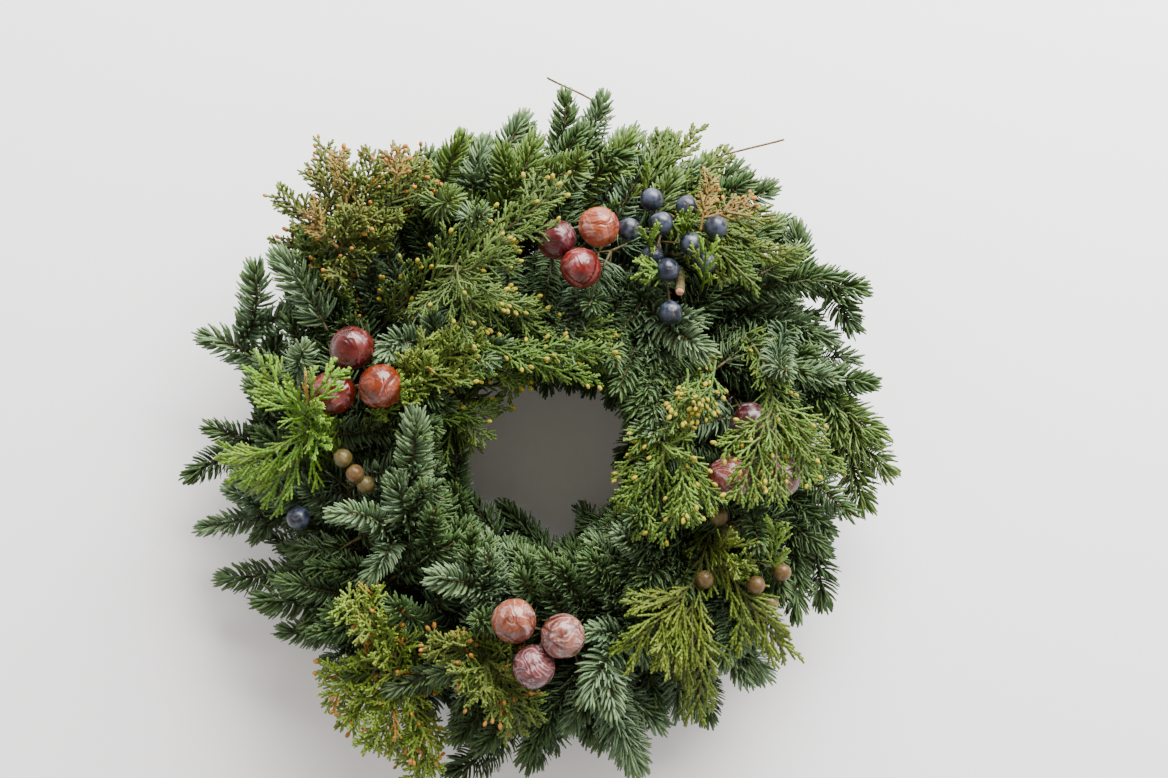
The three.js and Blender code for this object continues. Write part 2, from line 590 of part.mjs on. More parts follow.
// Small blunt cones that sit on the upper side of a frond's branches.
function growCones(piece, shoots, count) {
  const solids = [];
  for (let i = 0; i < count; i += 1) {
    const shoot = shoots[i % shoots.length];
    const at = shoot.points[2 + (i % 3)];
    const sideStep = new THREE.Vector3(random() - 0.5, random() - 0.5, 0.9).normalize();
    const tip = at.clone().addScaledVector(sideStep, 2 * CONE_RADIUS);
    const rod = { piece, a: at, b: tip, radius: CONE_RADIUS };
    if (isClear(rod)) {
      claim(rod);
      solids.push(smallCone(at, tip));
    }
  }
  return solids;
}

// ---------------------------------------------------------------- pieces
const wreath = new THREE.Group();

// Joins a piece's solids, keeps the one body that holds together and adds it to the wreath.
function addPiece(name, look, solids) {
  let whole = solids[0];
  for (const solid of solids.slice(1)) whole = whole.add(solid);
  const bodies = whole.simplify(0.02).decompose();
  const body = bodies.sort((p, q) => q.volume() - p.volume())[0];
  const mesh = body.getMesh();
  const geometry = new THREE.BufferGeometry();
  geometry.setAttribute('position', new THREE.Float32BufferAttribute(mesh.vertProperties, 3));
  geometry.setIndex(Array.from(mesh.triVerts));
  geometry.computeVertexNormals();
  const [color, roughness, metalness] = COLOURS[look];
  const material = new THREE.MeshStandardMaterial({ color, roughness, metalness, flatShading: true });
  const node = new THREE.Mesh(geometry, material);
  node.name = name;
  wreath.add(node);
}

function routeBerries([name, look, radius, angle, fork, middles]) {
  const centres = middles.map(place);
  centres.forEach(middle => claim({ piece: name, a: middle, b: middle, radius }));
  return { name, look, radius, angle, fork: place(fork), centres };
}

function stalkBerries(bunch) {
  const heel = bunch.fork.clone();
  heel.z -= 18;
  bunch.stem = mainStem(bunch.name, bunch.angle, heel, bunch.fork);
  bunch.stalks = bunch.centres.map((middle, i) => ({
    points: [bunch.stem.points.at(-1 - (i % 4)), middle],
    radii: [TIP_RADIUS, TIP_RADIUS],
  }));
  bunch.stalks.forEach(stalk => rodsOf(bunch.name, stalk.points, stalk.radii).forEach(claim));
}

function routeFir([name, look, angle, needle, shoots]) {
  const piece = `fir_${name}`;
  const limbs = [];
  shoots.forEach(([heel, tip, habit], i) => {
    const route = i === 0
      ? mainStem(piece, angle, place(heel), place(tip))
      : sideShoot(piece, `side_${i}`, limbs[0], place(heel), place(tip));
    if (route) limbs.push({ ...route, piece, habit, isMain: i === 0 });
  });
  return { piece, look, needle, limbs };
}

function routeFrond([name, look, angle, fork, tips, cones]) {
  const forkPoint = place(fork);
  const limbs = [];
  tips.forEach((tip, i) => {
    const heel = forkPoint.clone().lerp(place(tip), 0.35);
    heel.z += 4;
    const route = i === 0
      ? mainStem(name, angle, forkPoint, place(tip))
      : sideShoot(name, `side_${i}`, limbs[0], heel, place(tip));
    if (route) limbs.push({ ...route, piece: name, habit: 'frond', isMain: i === 0 });
  });
  return { piece: name, look, cones, limbs };
}

const ringSolid = ringFrame();
const wireSolid = bindingWire();
addPiece('ring_frame', 'ring', [ringSolid]);
addPiece('binding_wire', 'wire', [wireSolid]);

const bunches = BERRIES.map(routeBerries);
bunches.forEach(stalkBerries);
const fronds = FRONDS.map(routeFrond);
const sprays = FIR.map(routeFir);

for (const bunch of bunches) {
  const limbs = [bunch.stem, ...bunch.stalks].map(({ points, radii }) => tube(points, radii));
  addPiece(bunch.name, bunch.look, [...limbs, ...bunch.centres.map(middle => ball(middle, bunch.radius))]);
}

for (const { piece, look, cones, limbs } of fronds) {
  const solids = limbs.map(shoot => spikyLimb(shoot, BRANCHLET_LENGTH, BRANCHLET_SPACING));
  if (cones) solids.push(...growCones(piece, limbs, cones));
  addPiece(piece, look, solids);
}

for (const { piece, look, needle, limbs } of sprays) {
  const solids = limbs.map(shoot => spikyLimb(shoot, needle, WHORL_SPACING));
  addPiece(piece, look, solids);
}

// The origin is under the middle of the whole wreath, on the surface that it lies on.
const box = new THREE.Box3().setFromObject(wreath);
wreath.position.set(-(box.min.x + box.max.x) / 2, -(box.min.y + box.max.y) / 2, -box.min.z);

export default wreath;
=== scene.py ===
# The looks of a fresh evergreen wreath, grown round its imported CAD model.
#
# Every spray follows the same stems as its CAD node. The layout lists give the tips as places on the
# wreath, [angle in degrees, distance from the middle, height], and each stem finds the same clear way.
# Lengths are in millimetres until a mesh is made.
import math
from types import SimpleNamespace as Form

import bmesh
import bpy
import numpy as np
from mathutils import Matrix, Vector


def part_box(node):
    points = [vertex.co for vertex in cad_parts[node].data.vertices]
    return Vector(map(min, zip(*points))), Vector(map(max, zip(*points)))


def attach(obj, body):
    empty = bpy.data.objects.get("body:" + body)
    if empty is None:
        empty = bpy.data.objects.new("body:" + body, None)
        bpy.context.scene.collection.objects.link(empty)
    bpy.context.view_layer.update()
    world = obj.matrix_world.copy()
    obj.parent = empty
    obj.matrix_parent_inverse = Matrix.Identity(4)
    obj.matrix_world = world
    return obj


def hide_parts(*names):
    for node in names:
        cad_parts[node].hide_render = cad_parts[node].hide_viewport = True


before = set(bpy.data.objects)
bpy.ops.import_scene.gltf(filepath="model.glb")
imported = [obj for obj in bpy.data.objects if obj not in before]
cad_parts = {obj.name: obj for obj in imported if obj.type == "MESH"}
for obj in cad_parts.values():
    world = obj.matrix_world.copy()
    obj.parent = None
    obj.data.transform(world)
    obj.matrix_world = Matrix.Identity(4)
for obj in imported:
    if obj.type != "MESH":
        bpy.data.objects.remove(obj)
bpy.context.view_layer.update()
MM = 0.001
UP = np.array([0.0, 0.0, 1.0])
EAST = np.array([1.0, 0.0, 0.0])

# ------------------------ driving dimensions
RING_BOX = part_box("ring_frame")
MIDDLE = np.array([(RING_BOX[0][i] + RING_BOX[1][i]) / 2 / MM for i in range(2)] + [0.0])
RING_HEIGHT = (RING_BOX[0][2] + RING_BOX[1][2]) / 2 / MM
RING_WIRE = 2.5
RING_RADIUS = 100
WIRE_SIDE = 1.1
TURNS = 24
GAP = 0.3
SLACK = 0.15
STEM_RADIUS = 1.05
SHOOT_RADIUS = 0.85
TIP_RADIUS = 0.6
CURVE_SLACK = 0.5
GAP_ANGLE = 360 / TURNS
FIRST_LAYER = RING_WIRE + STEM_RADIUS + GAP + SLACK
LAYERS = [FIRST_LAYER + i * (2 * STEM_RADIUS + GAP + SLACK) for i in range(3)]
RED_RADIUS = 11
LOWEST_FOLIAGE = 1.0

# ------------------------ layout
# Fir sprays: name, look, angle where the stem is bound, needle length, then the shoots, each from its heel
# to its tip. Needles stand all about a shoot, unless it is flat (they lie to the sides and up) or a star
# (it points up and shows them as a star).
FIR = [
  ["left_fork", "frosted", 188, 13, [
    [[157, 136, 46], [161, 177, 42]], [[155, 152, 50], [147, 168, 52], "flat"],
    [[163, 124, 58], [156, 123, 80], "star"]]],
  ["left_upright", "deep", 172, 12, [[[152, 124, 56], [137, 156, 60]]]],
  ["left_arc", "deep", 200, 11, [
    [[178, 141, 36], [176, 168, 30], "flat"], [[179, 152, 34], [184, 180, 24], "flat"],
    [[168, 130, 46], [167, 147, 52], "star"]]],
  ["left_point", "frosted", 212, 10, [
    [[193, 140, 38], [193, 178, 24]], [[190, 141, 44], [187, 158, 36], "flat"],
    [[186, 140, 46], [181, 156, 38], "flat"]]],
  ["left_low", "deep", 224, 12, [[[207, 136, 38], [202, 176, 22]]]],
  ["low_left_upper", "deep", 234, 13, [
    [[218, 122, 54], [208, 159, 38], "flat"], [[229, 127, 52], [217, 128, 60], "flat"]]],
  ["low_left_lower", "frosted", 248, 11, [
    [[224, 139, 30], [215, 162, 20], "flat"], [[240, 142, 32], [229, 147, 30], "flat"],
    [[249, 155, 30], [245, 167, 24], "flat"]]],
  ["top_left_umbrella", "fresh", 154, 13, [
    [[110, 141, 56], [104, 158, 60]], [[114, 126, 74], [108, 129, 86], "star"]]],
  ["top_left_tip", "frosted", 140, 12, [
    [[98, 145, 60], [93, 166, 48]], [[106, 133, 64], [100, 154, 56]],
    [[108, 112, 76], [103, 117, 88], "star"]]],
  ["top_brush", "fresh", 136, 14, [
    [[95, 120, 76], [91, 151, 64]], [[82, 133, 66], [82, 142, 80], "star"]]],
  ["top_fork", "deep", 124, 11, [
    [[83, 151, 52], [86, 178, 44]], [[80, 152, 52], [80, 180, 42]]]],
  ["top_olive", "fresh", 112, 12, [
    [[76, 134, 60], [74, 163, 46]], [[71, 155, 40], [68, 170, 32], "flat"]]],
  ["top_low", "deep", 98, 12, [
    [[56, 155, 40], [55, 175, 26], "flat"], [[50, 158, 40], [49, 177, 30], "flat"]]],
  ["right_fork", "deep", 78, 13, [
    [[34, 156, 48], [27, 179, 46], "flat"], [[28, 166, 46], [22, 169, 40], "flat"],
    [[35, 159, 46], [41, 170, 40]]]],
  ["right_shoulder", "frosted", 66, 12, [
    [[27, 144, 52], [21, 156, 42]], [[20, 118, 72], [19, 124, 90], "star"]]],
  ["right_arm", "deep", 54, 12, [[[15, 133, 56], [12, 167, 54]]]],
  ["inner_top_fan", "frosted", 90, 15, [[[48, 84, 72], [32, 94, 78], "flat"]]],
  ["right_bough", "fresh", 44, 14, [
    [[10, 140, 62], [3, 168, 50]], [[5, 150, 58], [357, 174, 42]],
    [[357, 153, 46], [351, 166, 36]]]],
  ["right_column", "deep", 30, 13, [
    [[347, 132, 54], [328, 151, 44]], [[346, 143, 38], [332, 163, 28], "flat"]]],
  ["right_rosette", "deep", 26, 11, [[[343, 113, 66], [338, 113, 84], "star"]]],
  ["low_right_comb", "frosted", 6, 13, [
    [[323, 132, 54], [311, 136, 58], "flat"], [[317, 141, 46], [315, 159, 34], "flat"]]],
  ["low_right_skirt", "deep", 350, 13, [
    [[307, 126, 40], [293, 139, 28], "flat"], [[307, 139, 36], [302, 161, 22], "flat"]]],
  ["bottom_plume", "frosted", 332, 15, [
    [[290, 91, 76], [282, 118, 80]], [[286, 123, 50], [287, 166, 34]]]],
  ["bottom_droop", "deep", 314, 14, [
    [[271, 123, 56], [258, 145, 44], "flat"], [[271, 144, 34], [268, 159, 26], "flat"],
    [[263, 150, 32], [255, 171, 22], "flat"]]],
  ["bottom_dotted", "deep", 346, 12, [[[313, 106, 58], [298, 94, 60], "flat"]]],
  ["inner_right_fan", "deep", 345, 14, [
    [[325, 76, 74], [304, 83, 70], "flat"], [[333, 63, 68], [328, 54, 88], "star"],
    [[327, 60, 50], [303, 46, 34], "flat"]]],
  ["inner_bottom_comb", "frosted", 304, 14, [[[253, 64, 70], [230, 76, 84]]]],
  ["hole_bottom", "deep", 318, 12, [
    [[288, 57, 50], [261, 60, 48], "flat"], [[281, 56, 34], [250, 42, 22]]]],
  ["hole_left", "deep", 258, 11, [
    [[237, 57, 42], [202, 47, 56], "flat"], [[198, 45, 50], [164, 43, 44], "flat"]]],
  ["inner_left_arc", "frosted", 236, 14, [
    [[185, 54, 88], [163, 61, 88]], [[215, 73, 72], [190, 69, 82], "flat"]]],
  ["left_bud", "frosted", 238, 11, [
    [[203, 72, 84], [196, 100, 88]], [[213, 82, 76], [216, 102, 74], "flat"]]],
  ["low_left_rosette", "deep", 264, 12, [[[234, 107, 64], [226, 99, 80], "star"]]],
  ["bottom_left_rosette", "deep", 280, 11, [[[256, 89, 66], [250, 83, 88], "star"]]],
  ["inner_top_left", "frosted", 178, 12, [
    [[134, 55, 74], [107, 55, 82], "flat"], [[137, 94, 76], [148, 86, 86], "flat"]]],
  ["inner_right_rim", "deep", 28, 12, [
    [[23, 61, 70], [1, 51, 72], "flat"], [[13, 52, 44], [353, 42, 38], "flat"]]],
  ["hole_top", "deep", 100, 12, [
    [[75, 58, 46], [62, 42, 30], "flat"], [[70, 87, 76], [71, 75, 88], "star"]]],
]

# Conifer fronds with scale leaves: name, look, angle where the stem is bound, the fork's place, the
# tips of its branches, and the pollen cones on them.
FRONDS = [
  ["juniper_top_left", "juniper", 174, [139, 128, 64],
    [[125, 184, 60], [134, 168, 58], [139, 160, 50], [119, 164, 74], [112, 153, 66], [128, 146, 80]], 3],
  ["cedar_top", "cedar", 170, [128, 94, 88],
    [[85, 126, 92], [88, 97, 92], [100, 96, 94], [79, 84, 86], [92, 66, 82], [110, 76, 88]], 7],
  ["cedar_over_hole", "cedar", 138, [94, 66, 70], [[45, 58, 72], [62, 60, 76], [92, 40, 66]], 4],
  ["cedar_hole_left", "cedar", 165, [166, 50, 62], [[116, 44, 58], [140, 44, 56], [170, 40, 50]], 0],
  ["juniper_upright", "juniper", 206, [172, 76, 74], [[133, 76, 92], [124, 64, 88], [146, 72, 84]], 0],
  ["cypress_left_fan", "cypress", 208, [174, 98, 70],
    [[163, 140, 72], [168, 124, 84], [182, 143, 72], [187, 132, 66], [192, 120, 62], [158, 103, 96]], 0],
  ["cypress_top_right", "cypress", 102, [66, 116, 60],
    [[64, 179, 48], [69, 166, 52], [58, 176, 50], [46, 162, 62], [37, 158, 68], [38, 132, 78]], 0],
  ["cedar_right_left", "cedar", 62, [20, 84, 90],
    [[345, 42, 84], [333, 54, 86], [338, 74, 88], [8, 62, 84]], 6],
  ["cedar_right_down", "cedar", 50, [18, 112, 82],
    [[350, 114, 94], [349, 97, 94], [357, 140, 80], [5, 126, 90]], 6],
  ["cypress_low_right", "cypress", 14, [330, 100, 72],
    [[301, 116, 78], [296, 102, 80], [308, 120, 78], [336, 104, 82], [302, 148, 54], [321, 154, 58]], 0],
  ["juniper_low_left", "juniper", 270, [240, 116, 58],
    [[233, 167, 50], [228, 152, 52], [241, 168, 46], [250, 172, 40], [216, 114, 80]], 4],
  ["juniper_bottom", "juniper", 290, [262, 104, 72], [[240, 104, 80], [252, 112, 82], [266, 134, 66]], 3],
]

# Berry bunches: name, look, radius, angle where the stalk is bound, the place where the stalk forks,
# and the middle of each berry.
BERRIES = [
  ["red_berries_left", "red", RED_RADIUS, 176, [155, 91, 68],
    [[150, 102, 86], [156, 81, 90], [163, 102, 82]]],
  ["red_berries_top", "red", RED_RADIUS * 0.9, 96, [79, 101, 68],
    [[85, 103, 84], [75, 112, 88], [77, 91, 90]]],
  ["red_berries_right", "red", RED_RADIUS, 20, [358, 104, 62],
    [[353, 92, 82], [355, 116, 80], [8, 104, 74]]],
  ["red_berries_bottom", "red", RED_RADIUS, 286, [271, 85, 70],
    [[262, 79, 90], [278, 86, 92], [269, 100, 88]]],
  ["blue_berries_top", "blue", 5.6, 80, [61, 122, 66],
    [[68, 116, 84], [62, 125, 84], [54, 124, 86], [52, 138, 82], [66, 134, 78],
      [59, 139, 76], [55, 108, 82], [49, 122, 76], [60, 110, 74], [47, 93, 82]]],
  ["blue_berry_left", "blue", 5.8, 214, [197, 118, 46], [[195, 122, 62]]],
  ["tan_berries_left", "tan", 4.5, 204, [184, 90, 58],
    [[181, 94, 76], [186, 89, 74], [190, 85, 70], [169, 78, 66]]],
  ["tan_berries_inner_left", "tan", 4.2, 168, [140, 54, 46], [[146, 60, 60], [130, 50, 58]]],
  ["tan_berries_right", "tan", 4.5, 356, [333, 118, 54],
    [[341, 92, 74], [338, 101, 66], [323, 101, 70], [329, 123, 70], [334, 132, 64], [327, 135, 60]]],
]

# Loose shoots of each look, heel and tip: cypress stands up between the berries and beside the fruits,
# cedar and deep fir hang over the hole's edge, brown juniper shows at the top, fresh fir fills the top
# right, and a frosted plume hangs from the bottom. A third value is the share of tips with pollen cones.
LOOSE = {
  "cypress": [
    [[60, 112, 60], [63, 117, 94]], [[56, 120, 60], [58, 132, 92]], [[50, 112, 70], [61, 100, 92]],
    [[45, 112, 66], [51, 126, 92]], [[328, 128, 56], [334, 107, 84]], [[330, 130, 56], [344, 118, 86]],
    [[172, 86, 62], [152, 72, 96]]],
  "cedar": [
    [[118, 58, 86], [50, 46, 89]], [[124, 64, 84], [52, 63, 90]], [[164, 60, 70], [126, 29, 66]],
    [[132, 62, 74], [100, 38, 74]], [[150, 64, 82], [118, 46, 88]],
    [[28, 96, 82], [14, 80, 95], 0.7], [[30, 82, 84], [17, 70, 94], 0.7],
    [[26, 88, 82], [20, 76, 96], 0.7]],
  "deep": [
    [[275, 52, 32], [238, 35, 24]], [[246, 50, 44], [212, 43, 42]], [[300, 53, 34], [305, 38, 28]],
    [[72, 58, 34], [66, 37, 16]], [[86, 56, 42], [84, 34, 26]], [[56, 60, 32], [53, 41, 14]],
    [[44, 60, 46], [36, 45, 30]], [[98, 54, 36], [97, 37, 16]]],
  "fresh": [
    [[68, 138, 54], [67, 166, 48]], [[60, 140, 56], [60, 166, 50]], [[53, 142, 54], [52, 166, 46]],
    [[46, 146, 50], [44, 164, 44]], [[39, 140, 58], [38, 160, 54]], [[64, 128, 62], [64, 150, 60]]],
  "frosted": [[[285, 108, 72], [287, 162, 50]], [[150, 120, 60], [143, 158, 64]]],
  "juniper": [
    [[54, 132, 82], [58, 156, 82]], [[55, 138, 84], [50, 157, 78]], [[128, 150, 76], [124, 174, 74]],
    [[134, 138, 78], [133, 162, 72]], [[118, 146, 82], [116, 160, 86]]],
}
# The cut end of the blue berries' own twig, which shows among them, and how far its wood reaches past it.
CUT_TWIG = Form(
    bunch="blue_berries_top", start=[52, 112, 66], end=[49, 103, 85], radius=2.3, bow=0.4, points=9,
    sides=14, wood=(-0.3, 0.15), wood_radii=np.array([0.86, 0.8]), bright=1.3,
)

# The binding wire winds clockwise once round the ring. Its free ends lie outward, first turn to tip.
WIRE_FIRST_TURN = 427.5
WIRE_TURNS = TURNS - 1
WIRE_FIRST_END = [[64, 120, 11], [60, 160, 15], [60, 172, 24], [52, 202, 26]]
WIRE_LAST_END = [[80, 122, 9], [79, 160, 16], [80, 178, 26], [89, 190, 30]]


# ------------------------ small helpers
TINY = 1e-9
STEEP = 0.25  # a direction whose level part is smaller counts as upright
FINE_STEPS = 10


def unit(vectors):
    return vectors / np.maximum(np.linalg.norm(vectors, axis=-1, keepdims=True), TINY)


def place(spot):
    angle, reach, height = spot
    turn = math.radians(angle)
    return np.array([reach * math.cos(turn), reach * math.sin(turn), height])


def beside_ring(angle, aside, above):
    """A point beside the ring: aside is outward from the rod's middle, above is upward."""
    return place([angle, RING_RADIUS + aside, RING_HEIGHT + above])


def srgb(red, green, blue):
    """A colour given as on a screen, 0 to 255, in linear light by the sRGB standard's curve."""
    values = np.array([red, green, blue]) / 255
    return np.where(values <= 0.04045, values / 12.92, ((values + 0.055) / 1.055) ** 2.4)


def bezier(points, steps):
    """Points along a quadratic or cubic Bezier curve."""
    order = len(points) - 1
    at = np.linspace(0, 1, steps + 1)[:, None]
    return sum(math.comb(order, k) * (1 - at) ** (order - k) * at**k * points[k] for k in range(order + 1))


def bent(root, length, start, end, at):
    """Places along a curve that leaves its root in one direction and ends in another."""
    return root + length * (at * start + 0.5 * at**2 * (end - start))


def between(stops, run, points):
    """The points that lie at the stops of a run."""
    return np.column_stack([np.interp(stops, run, points[:, k]) for k in range(3)])


def smooth_path(points, count):
    """Evenly spaced points along a smooth curve through the given ones, and its length."""
    points = np.asarray(points)
    padded = np.vstack([2 * points[0] - points[1], points, 2 * points[-1] - points[-2]])
    t = np.linspace(0, 1, FINE_STEPS, endpoint=False)[:, None]
    fine = [
        0.5 * (2 * b + (c - a) * t + (2 * a - 5 * b + 4 * c - d) * t**2 + (3 * b - a - 3 * c + d) * t**3)
        for a, b, c, d in zip(padded[:-3], padded[1:-2], padded[2:-1], padded[3:])
    ]
    fine = np.vstack(fine + [points[-1:]])
    run = np.concatenate([[0], np.cumsum(np.linalg.norm(np.diff(fine, axis=0), axis=1))])
    return between(np.linspace(0, run[-1], count), run, fine), run[-1]


def smooth_limb(limb, count):
    """A limb's smooth path, its length, and its radius at each point."""
    path, total = smooth_path(limb["points"], count)
    radii = limb["radii"]
    return path, total, np.interp(np.linspace(0, 1, count), np.linspace(0, 1, len(radii)), radii)


def spots_along(path, rng, bare, last, count, even=0.0, loose=1.0):
    """Where side growth leaves a path, left and right in turn: number, share of the path, point, sign."""
    for i in range(count):
        share = bare + (last - bare) * (i + even + loose * rng.random()) / count
        yield i, share, int(share * (len(path) - 1)), 1 if i % 2 else -1


def axes_along(path):
    """The direction at each point of a path, with one level and one upward direction across it."""
    ahead = unit(np.gradient(path, axis=0))
    level = np.cross(UP, ahead)
    steep = np.linalg.norm(level, axis=1) < STEEP
    level[steep] = np.cross(EAST, ahead[steep])
    level = unit(level)
    return ahead, level, np.cross(ahead, level)


# ------------------------ clear ways for the stems
taken = []  # rods already taken: owner, start, end and radius


def claim(owner, points, radii):
    for i in range(len(points) - 1):
        taken.append((owner, points[i], points[i + 1], max(radii[i], radii[i + 1])))


def others(owner):
    """The starts, ends and radii of all other pieces' rods."""
    rods = [rod[1:] for rod in taken if rod[0] != owner]
    return [np.array(column, dtype=float) for column in zip(*rods)]


def rod_distances(p0, p1, q0, q1):
    """Shortest distances between each rod p and each rod q."""
    along = (p1 - p0)[:, None]
    other = (q1 - q0)[None]
    between = p0[:, None] - q0[None]
    a = np.maximum((along * along).sum(-1), TINY)
    e = (other * other).sum(-1)
    b = (along * other).sum(-1)
    c = (along * between).sum(-1)
    f = (other * between).sum(-1)
    spread = a * e - b * b
    s = np.where(spread > TINY, np.clip((b * f - c * e) / np.where(spread > TINY, spread, 1), 0, 1), 0)
    t = (b * s + f) / np.where(e > TINY, e, 1)
    outside = (t < 0) | (t > 1)
    t = np.clip(t, 0, 1)
    s = np.where(outside, np.clip((b * t - c) / a, 0, 1), s)
    point = e <= TINY
    s = np.where(point, np.clip(-c / a, 0, 1), s)
    t = np.where(point, 0, t)
    return np.linalg.norm(between + along * s[..., None] - other * t[..., None], axis=-1)


def is_clear(points, radii, rods):
    start, end, radius = rods
    points = np.asarray(points)
    radii = np.maximum(radii[:-1], radii[1:])
    low = points.min(0) - radii.max() - GAP
    high = points.max(0) + radii.max() + GAP
    near = (np.minimum(start, end) - radius[:, None] < high).all(1)
    near &= (np.maximum(start, end) + radius[:, None] > low).all(1)
    gaps = rod_distances(points[:-1], points[1:], start[near], end[near])
    return not (gaps < radii[:, None] + radius[near] + GAP).any()


# ------------------------ ring and binding wire
# One turn of the wire round the ring and the stems: corners, outward and upward from the rod.
WRAP_SIDE = LAYERS[2] + STEM_RADIUS + GAP + 1.2 * WIRE_SIDE
WRAP_BOTTOM = WIRE_SIDE / 2 - RING_HEIGHT
WRAP_FOOT = 0.75 * WRAP_SIDE
WRAP_CORNER = 0.58 * WRAP_SIDE
WRAP_WAIST = 0.2 * WRAP_SIDE
WRAP_TURN = [
    [WRAP_CORNER, WRAP_SIDE], [-WRAP_CORNER, WRAP_SIDE], [-WRAP_SIDE, WRAP_WAIST],
    [-WRAP_FOOT, WRAP_BOTTOM], [WRAP_FOOT, WRAP_BOTTOM], [WRAP_SIDE, WRAP_WAIST],
]
RING_STEPS = 36


def ring_way():
    return [beside_ring(i * 360 / RING_STEPS, 0, 0) for i in range(RING_STEPS + 1)]


def wire_way():
    """The binding wire's middle line, from its first free end round the ring to its last."""
    corners = len(WRAP_TURN)
    way = [place(spot) for spot in reversed(WIRE_FIRST_END)]
    for i in range(WIRE_TURNS * corners):
        way.append(beside_ring(WIRE_FIRST_TURN - GAP_ANGLE * i / corners, *WRAP_TURN[i % corners]))
    return way + [place(spot) for spot in WIRE_LAST_END]


# ------------------------ stems
# Places round the rod where a stem may lie: degrees from the outward side, and the layer.
SLOTS = [
    [90, 2], [72, 2], [108, 2], [90, 1], [68, 1], [112, 1], [54, 2], [126, 2], [36, 2], [144, 2],
    [90, 0], [46, 1], [134, 1], [52, 0], [128, 0], [24, 1], [156, 1], [18, 2], [162, 2], [14, 0], [166, 0],
    [2, 1], [178, 1],
]
SLOT_LEAN = 1.6  # degrees off the top for each millimetre that a stem leads aside
MOST_LEAN = 80
# What is tried to get a stem past the others: where it starts and how far it follows the ring, how high
# it arches, and how far it swings out or in.
STARTS = [[0, 0.3], [0, 0.15], [1, 0.3], [-1, 0.2], [0, 0.5], [2, 0.3], [1, 0.5], [-2, 0.15]]
BOWS = [0, 5, -5, 10, -10, 16]
SWINGS = [0, 6, -6, 12, -12, 20, -20]
LEAD_RISE = 0.4
LATE_SHARE = 0.5
BASES_TRIED = 3
STALK_PLACES = 4
BUNCH_DROP = 18
FROND_HEEL = 0.35
FROND_LIFT = 4
STEM_STEPS = 7
SHOOT_STEPS = 4
TIGHT_POINTS = 3
STEM_TAPER = np.array([
    STEM_RADIUS + (TIP_RADIUS - STEM_RADIUS) * max(0, i - TIGHT_POINTS) / (STEM_STEPS - 1)
    for i in range(STEM_STEPS + 3)
])
STEM_ROOM = STEM_TAPER + np.array([CURVE_SLACK if i > TIGHT_POINTS else 0 for i in range(STEM_STEPS + 3)])
SHOOT_TAPER = np.linspace(SHOOT_RADIUS, TIP_RADIUS, SHOOT_STEPS + 1)
SHOOT_ROOM = SHOOT_TAPER + CURVE_SLACK


def bound_part(angle, slot):
    """Where a stem lies on the ring, under one turn of the wire."""
    degrees, layer = slot
    nearest_gap = math.floor(angle / GAP_ANGLE + 0.5) * GAP_ANGLE
    aside = LAYERS[layer] * math.cos(math.radians(degrees))
    above = LAYERS[layer] * math.sin(math.radians(degrees))
    return [beside_ring(nearest_gap + share * GAP_ANGLE, aside, above) for share in (1, 0.5, 0)]


def slots_toward(target):
    lean = (math.hypot(target[0], target[1]) - RING_RADIUS) * SLOT_LEAN
    wanted = 90 - min(MOST_LEAN, max(-MOST_LEAN, lean))
    return sorted(SLOTS, key=lambda slot: abs(slot[0] - wanted))


def outward_from_middle(point):
    return unit(np.array([point[0], point[1], 0]))


def stem_route(piece, angle, heel, tip):
    """The stem's way from the ring to its tip: the first that is clear of every other piece."""
    rods = others(piece)
    for turn, pull in STARTS:
        bounds = [bound_part(angle + turn * GAP_ANGLE, slot) for slot in slots_toward(heel)]
        free = [bound for bound in bounds if is_clear(bound, STEM_ROOM[:3], rods)]
        for bow in BOWS:
            for swing in SWINGS:
                for bound in free:
                    leave = bound[2]
                    clockwise = unit(leave - bound[1])
                    outward = outward_from_middle(leave)
                    reach = np.linalg.norm(leave - tip) * pull
                    lead = leave + clockwise * reach + outward * swing
                    lead[2] += reach * LEAD_RISE + max(bow, 0)
                    late = heel + outward * swing * LATE_SHARE
                    late[2] += bow * LATE_SHARE
                    points = np.vstack([bound[:2], bezier([leave, lead, late, tip], STEM_STEPS)])
                    if is_clear(points[2:], STEM_ROOM[2:], rods):
                        return points
    raise ValueError(f"no clear way for {piece}")


def main_stem(piece, angle, heel, tip):
    points = stem_route(piece, angle, heel, tip)
    claim(piece, points, STEM_ROOM)
    return {"points": points, "radii": STEM_TAPER, "main": True}


def side_shoot(piece, main, heel, tip):
    """A side shoot leaves the main stem at the point nearest to its heel that gives it a clear way."""
    rods = others(piece)
    bases = sorted(main["points"][TIGHT_POINTS:-1], key=lambda point: np.linalg.norm(point - heel))
    for base in bases[:BASES_TRIED]:
        for bow in BOWS:
            for swing in BOWS:
                late = heel + outward_from_middle(heel) * swing + bow * UP
                points = bezier([base, late, tip], SHOOT_STEPS)
                if is_clear(points, SHOOT_ROOM, rods):
                    claim(piece, points, SHOOT_ROOM)
                    return {"points": points, "radii": SHOOT_TAPER, "main": False}
    return None


def find_limbs(piece, angle, shoots):
    """A spray's main stem, and those of its side shoots that find a clear way."""
    limbs = []
    for heel, tip, *habit in shoots:
        limb = side_shoot(piece, limbs[0], heel, tip) if limbs else main_stem(piece, angle, heel, tip)
        if limb:
            limbs.append(limb | {"habit": (habit or ["round"])[0]})
    return limbs


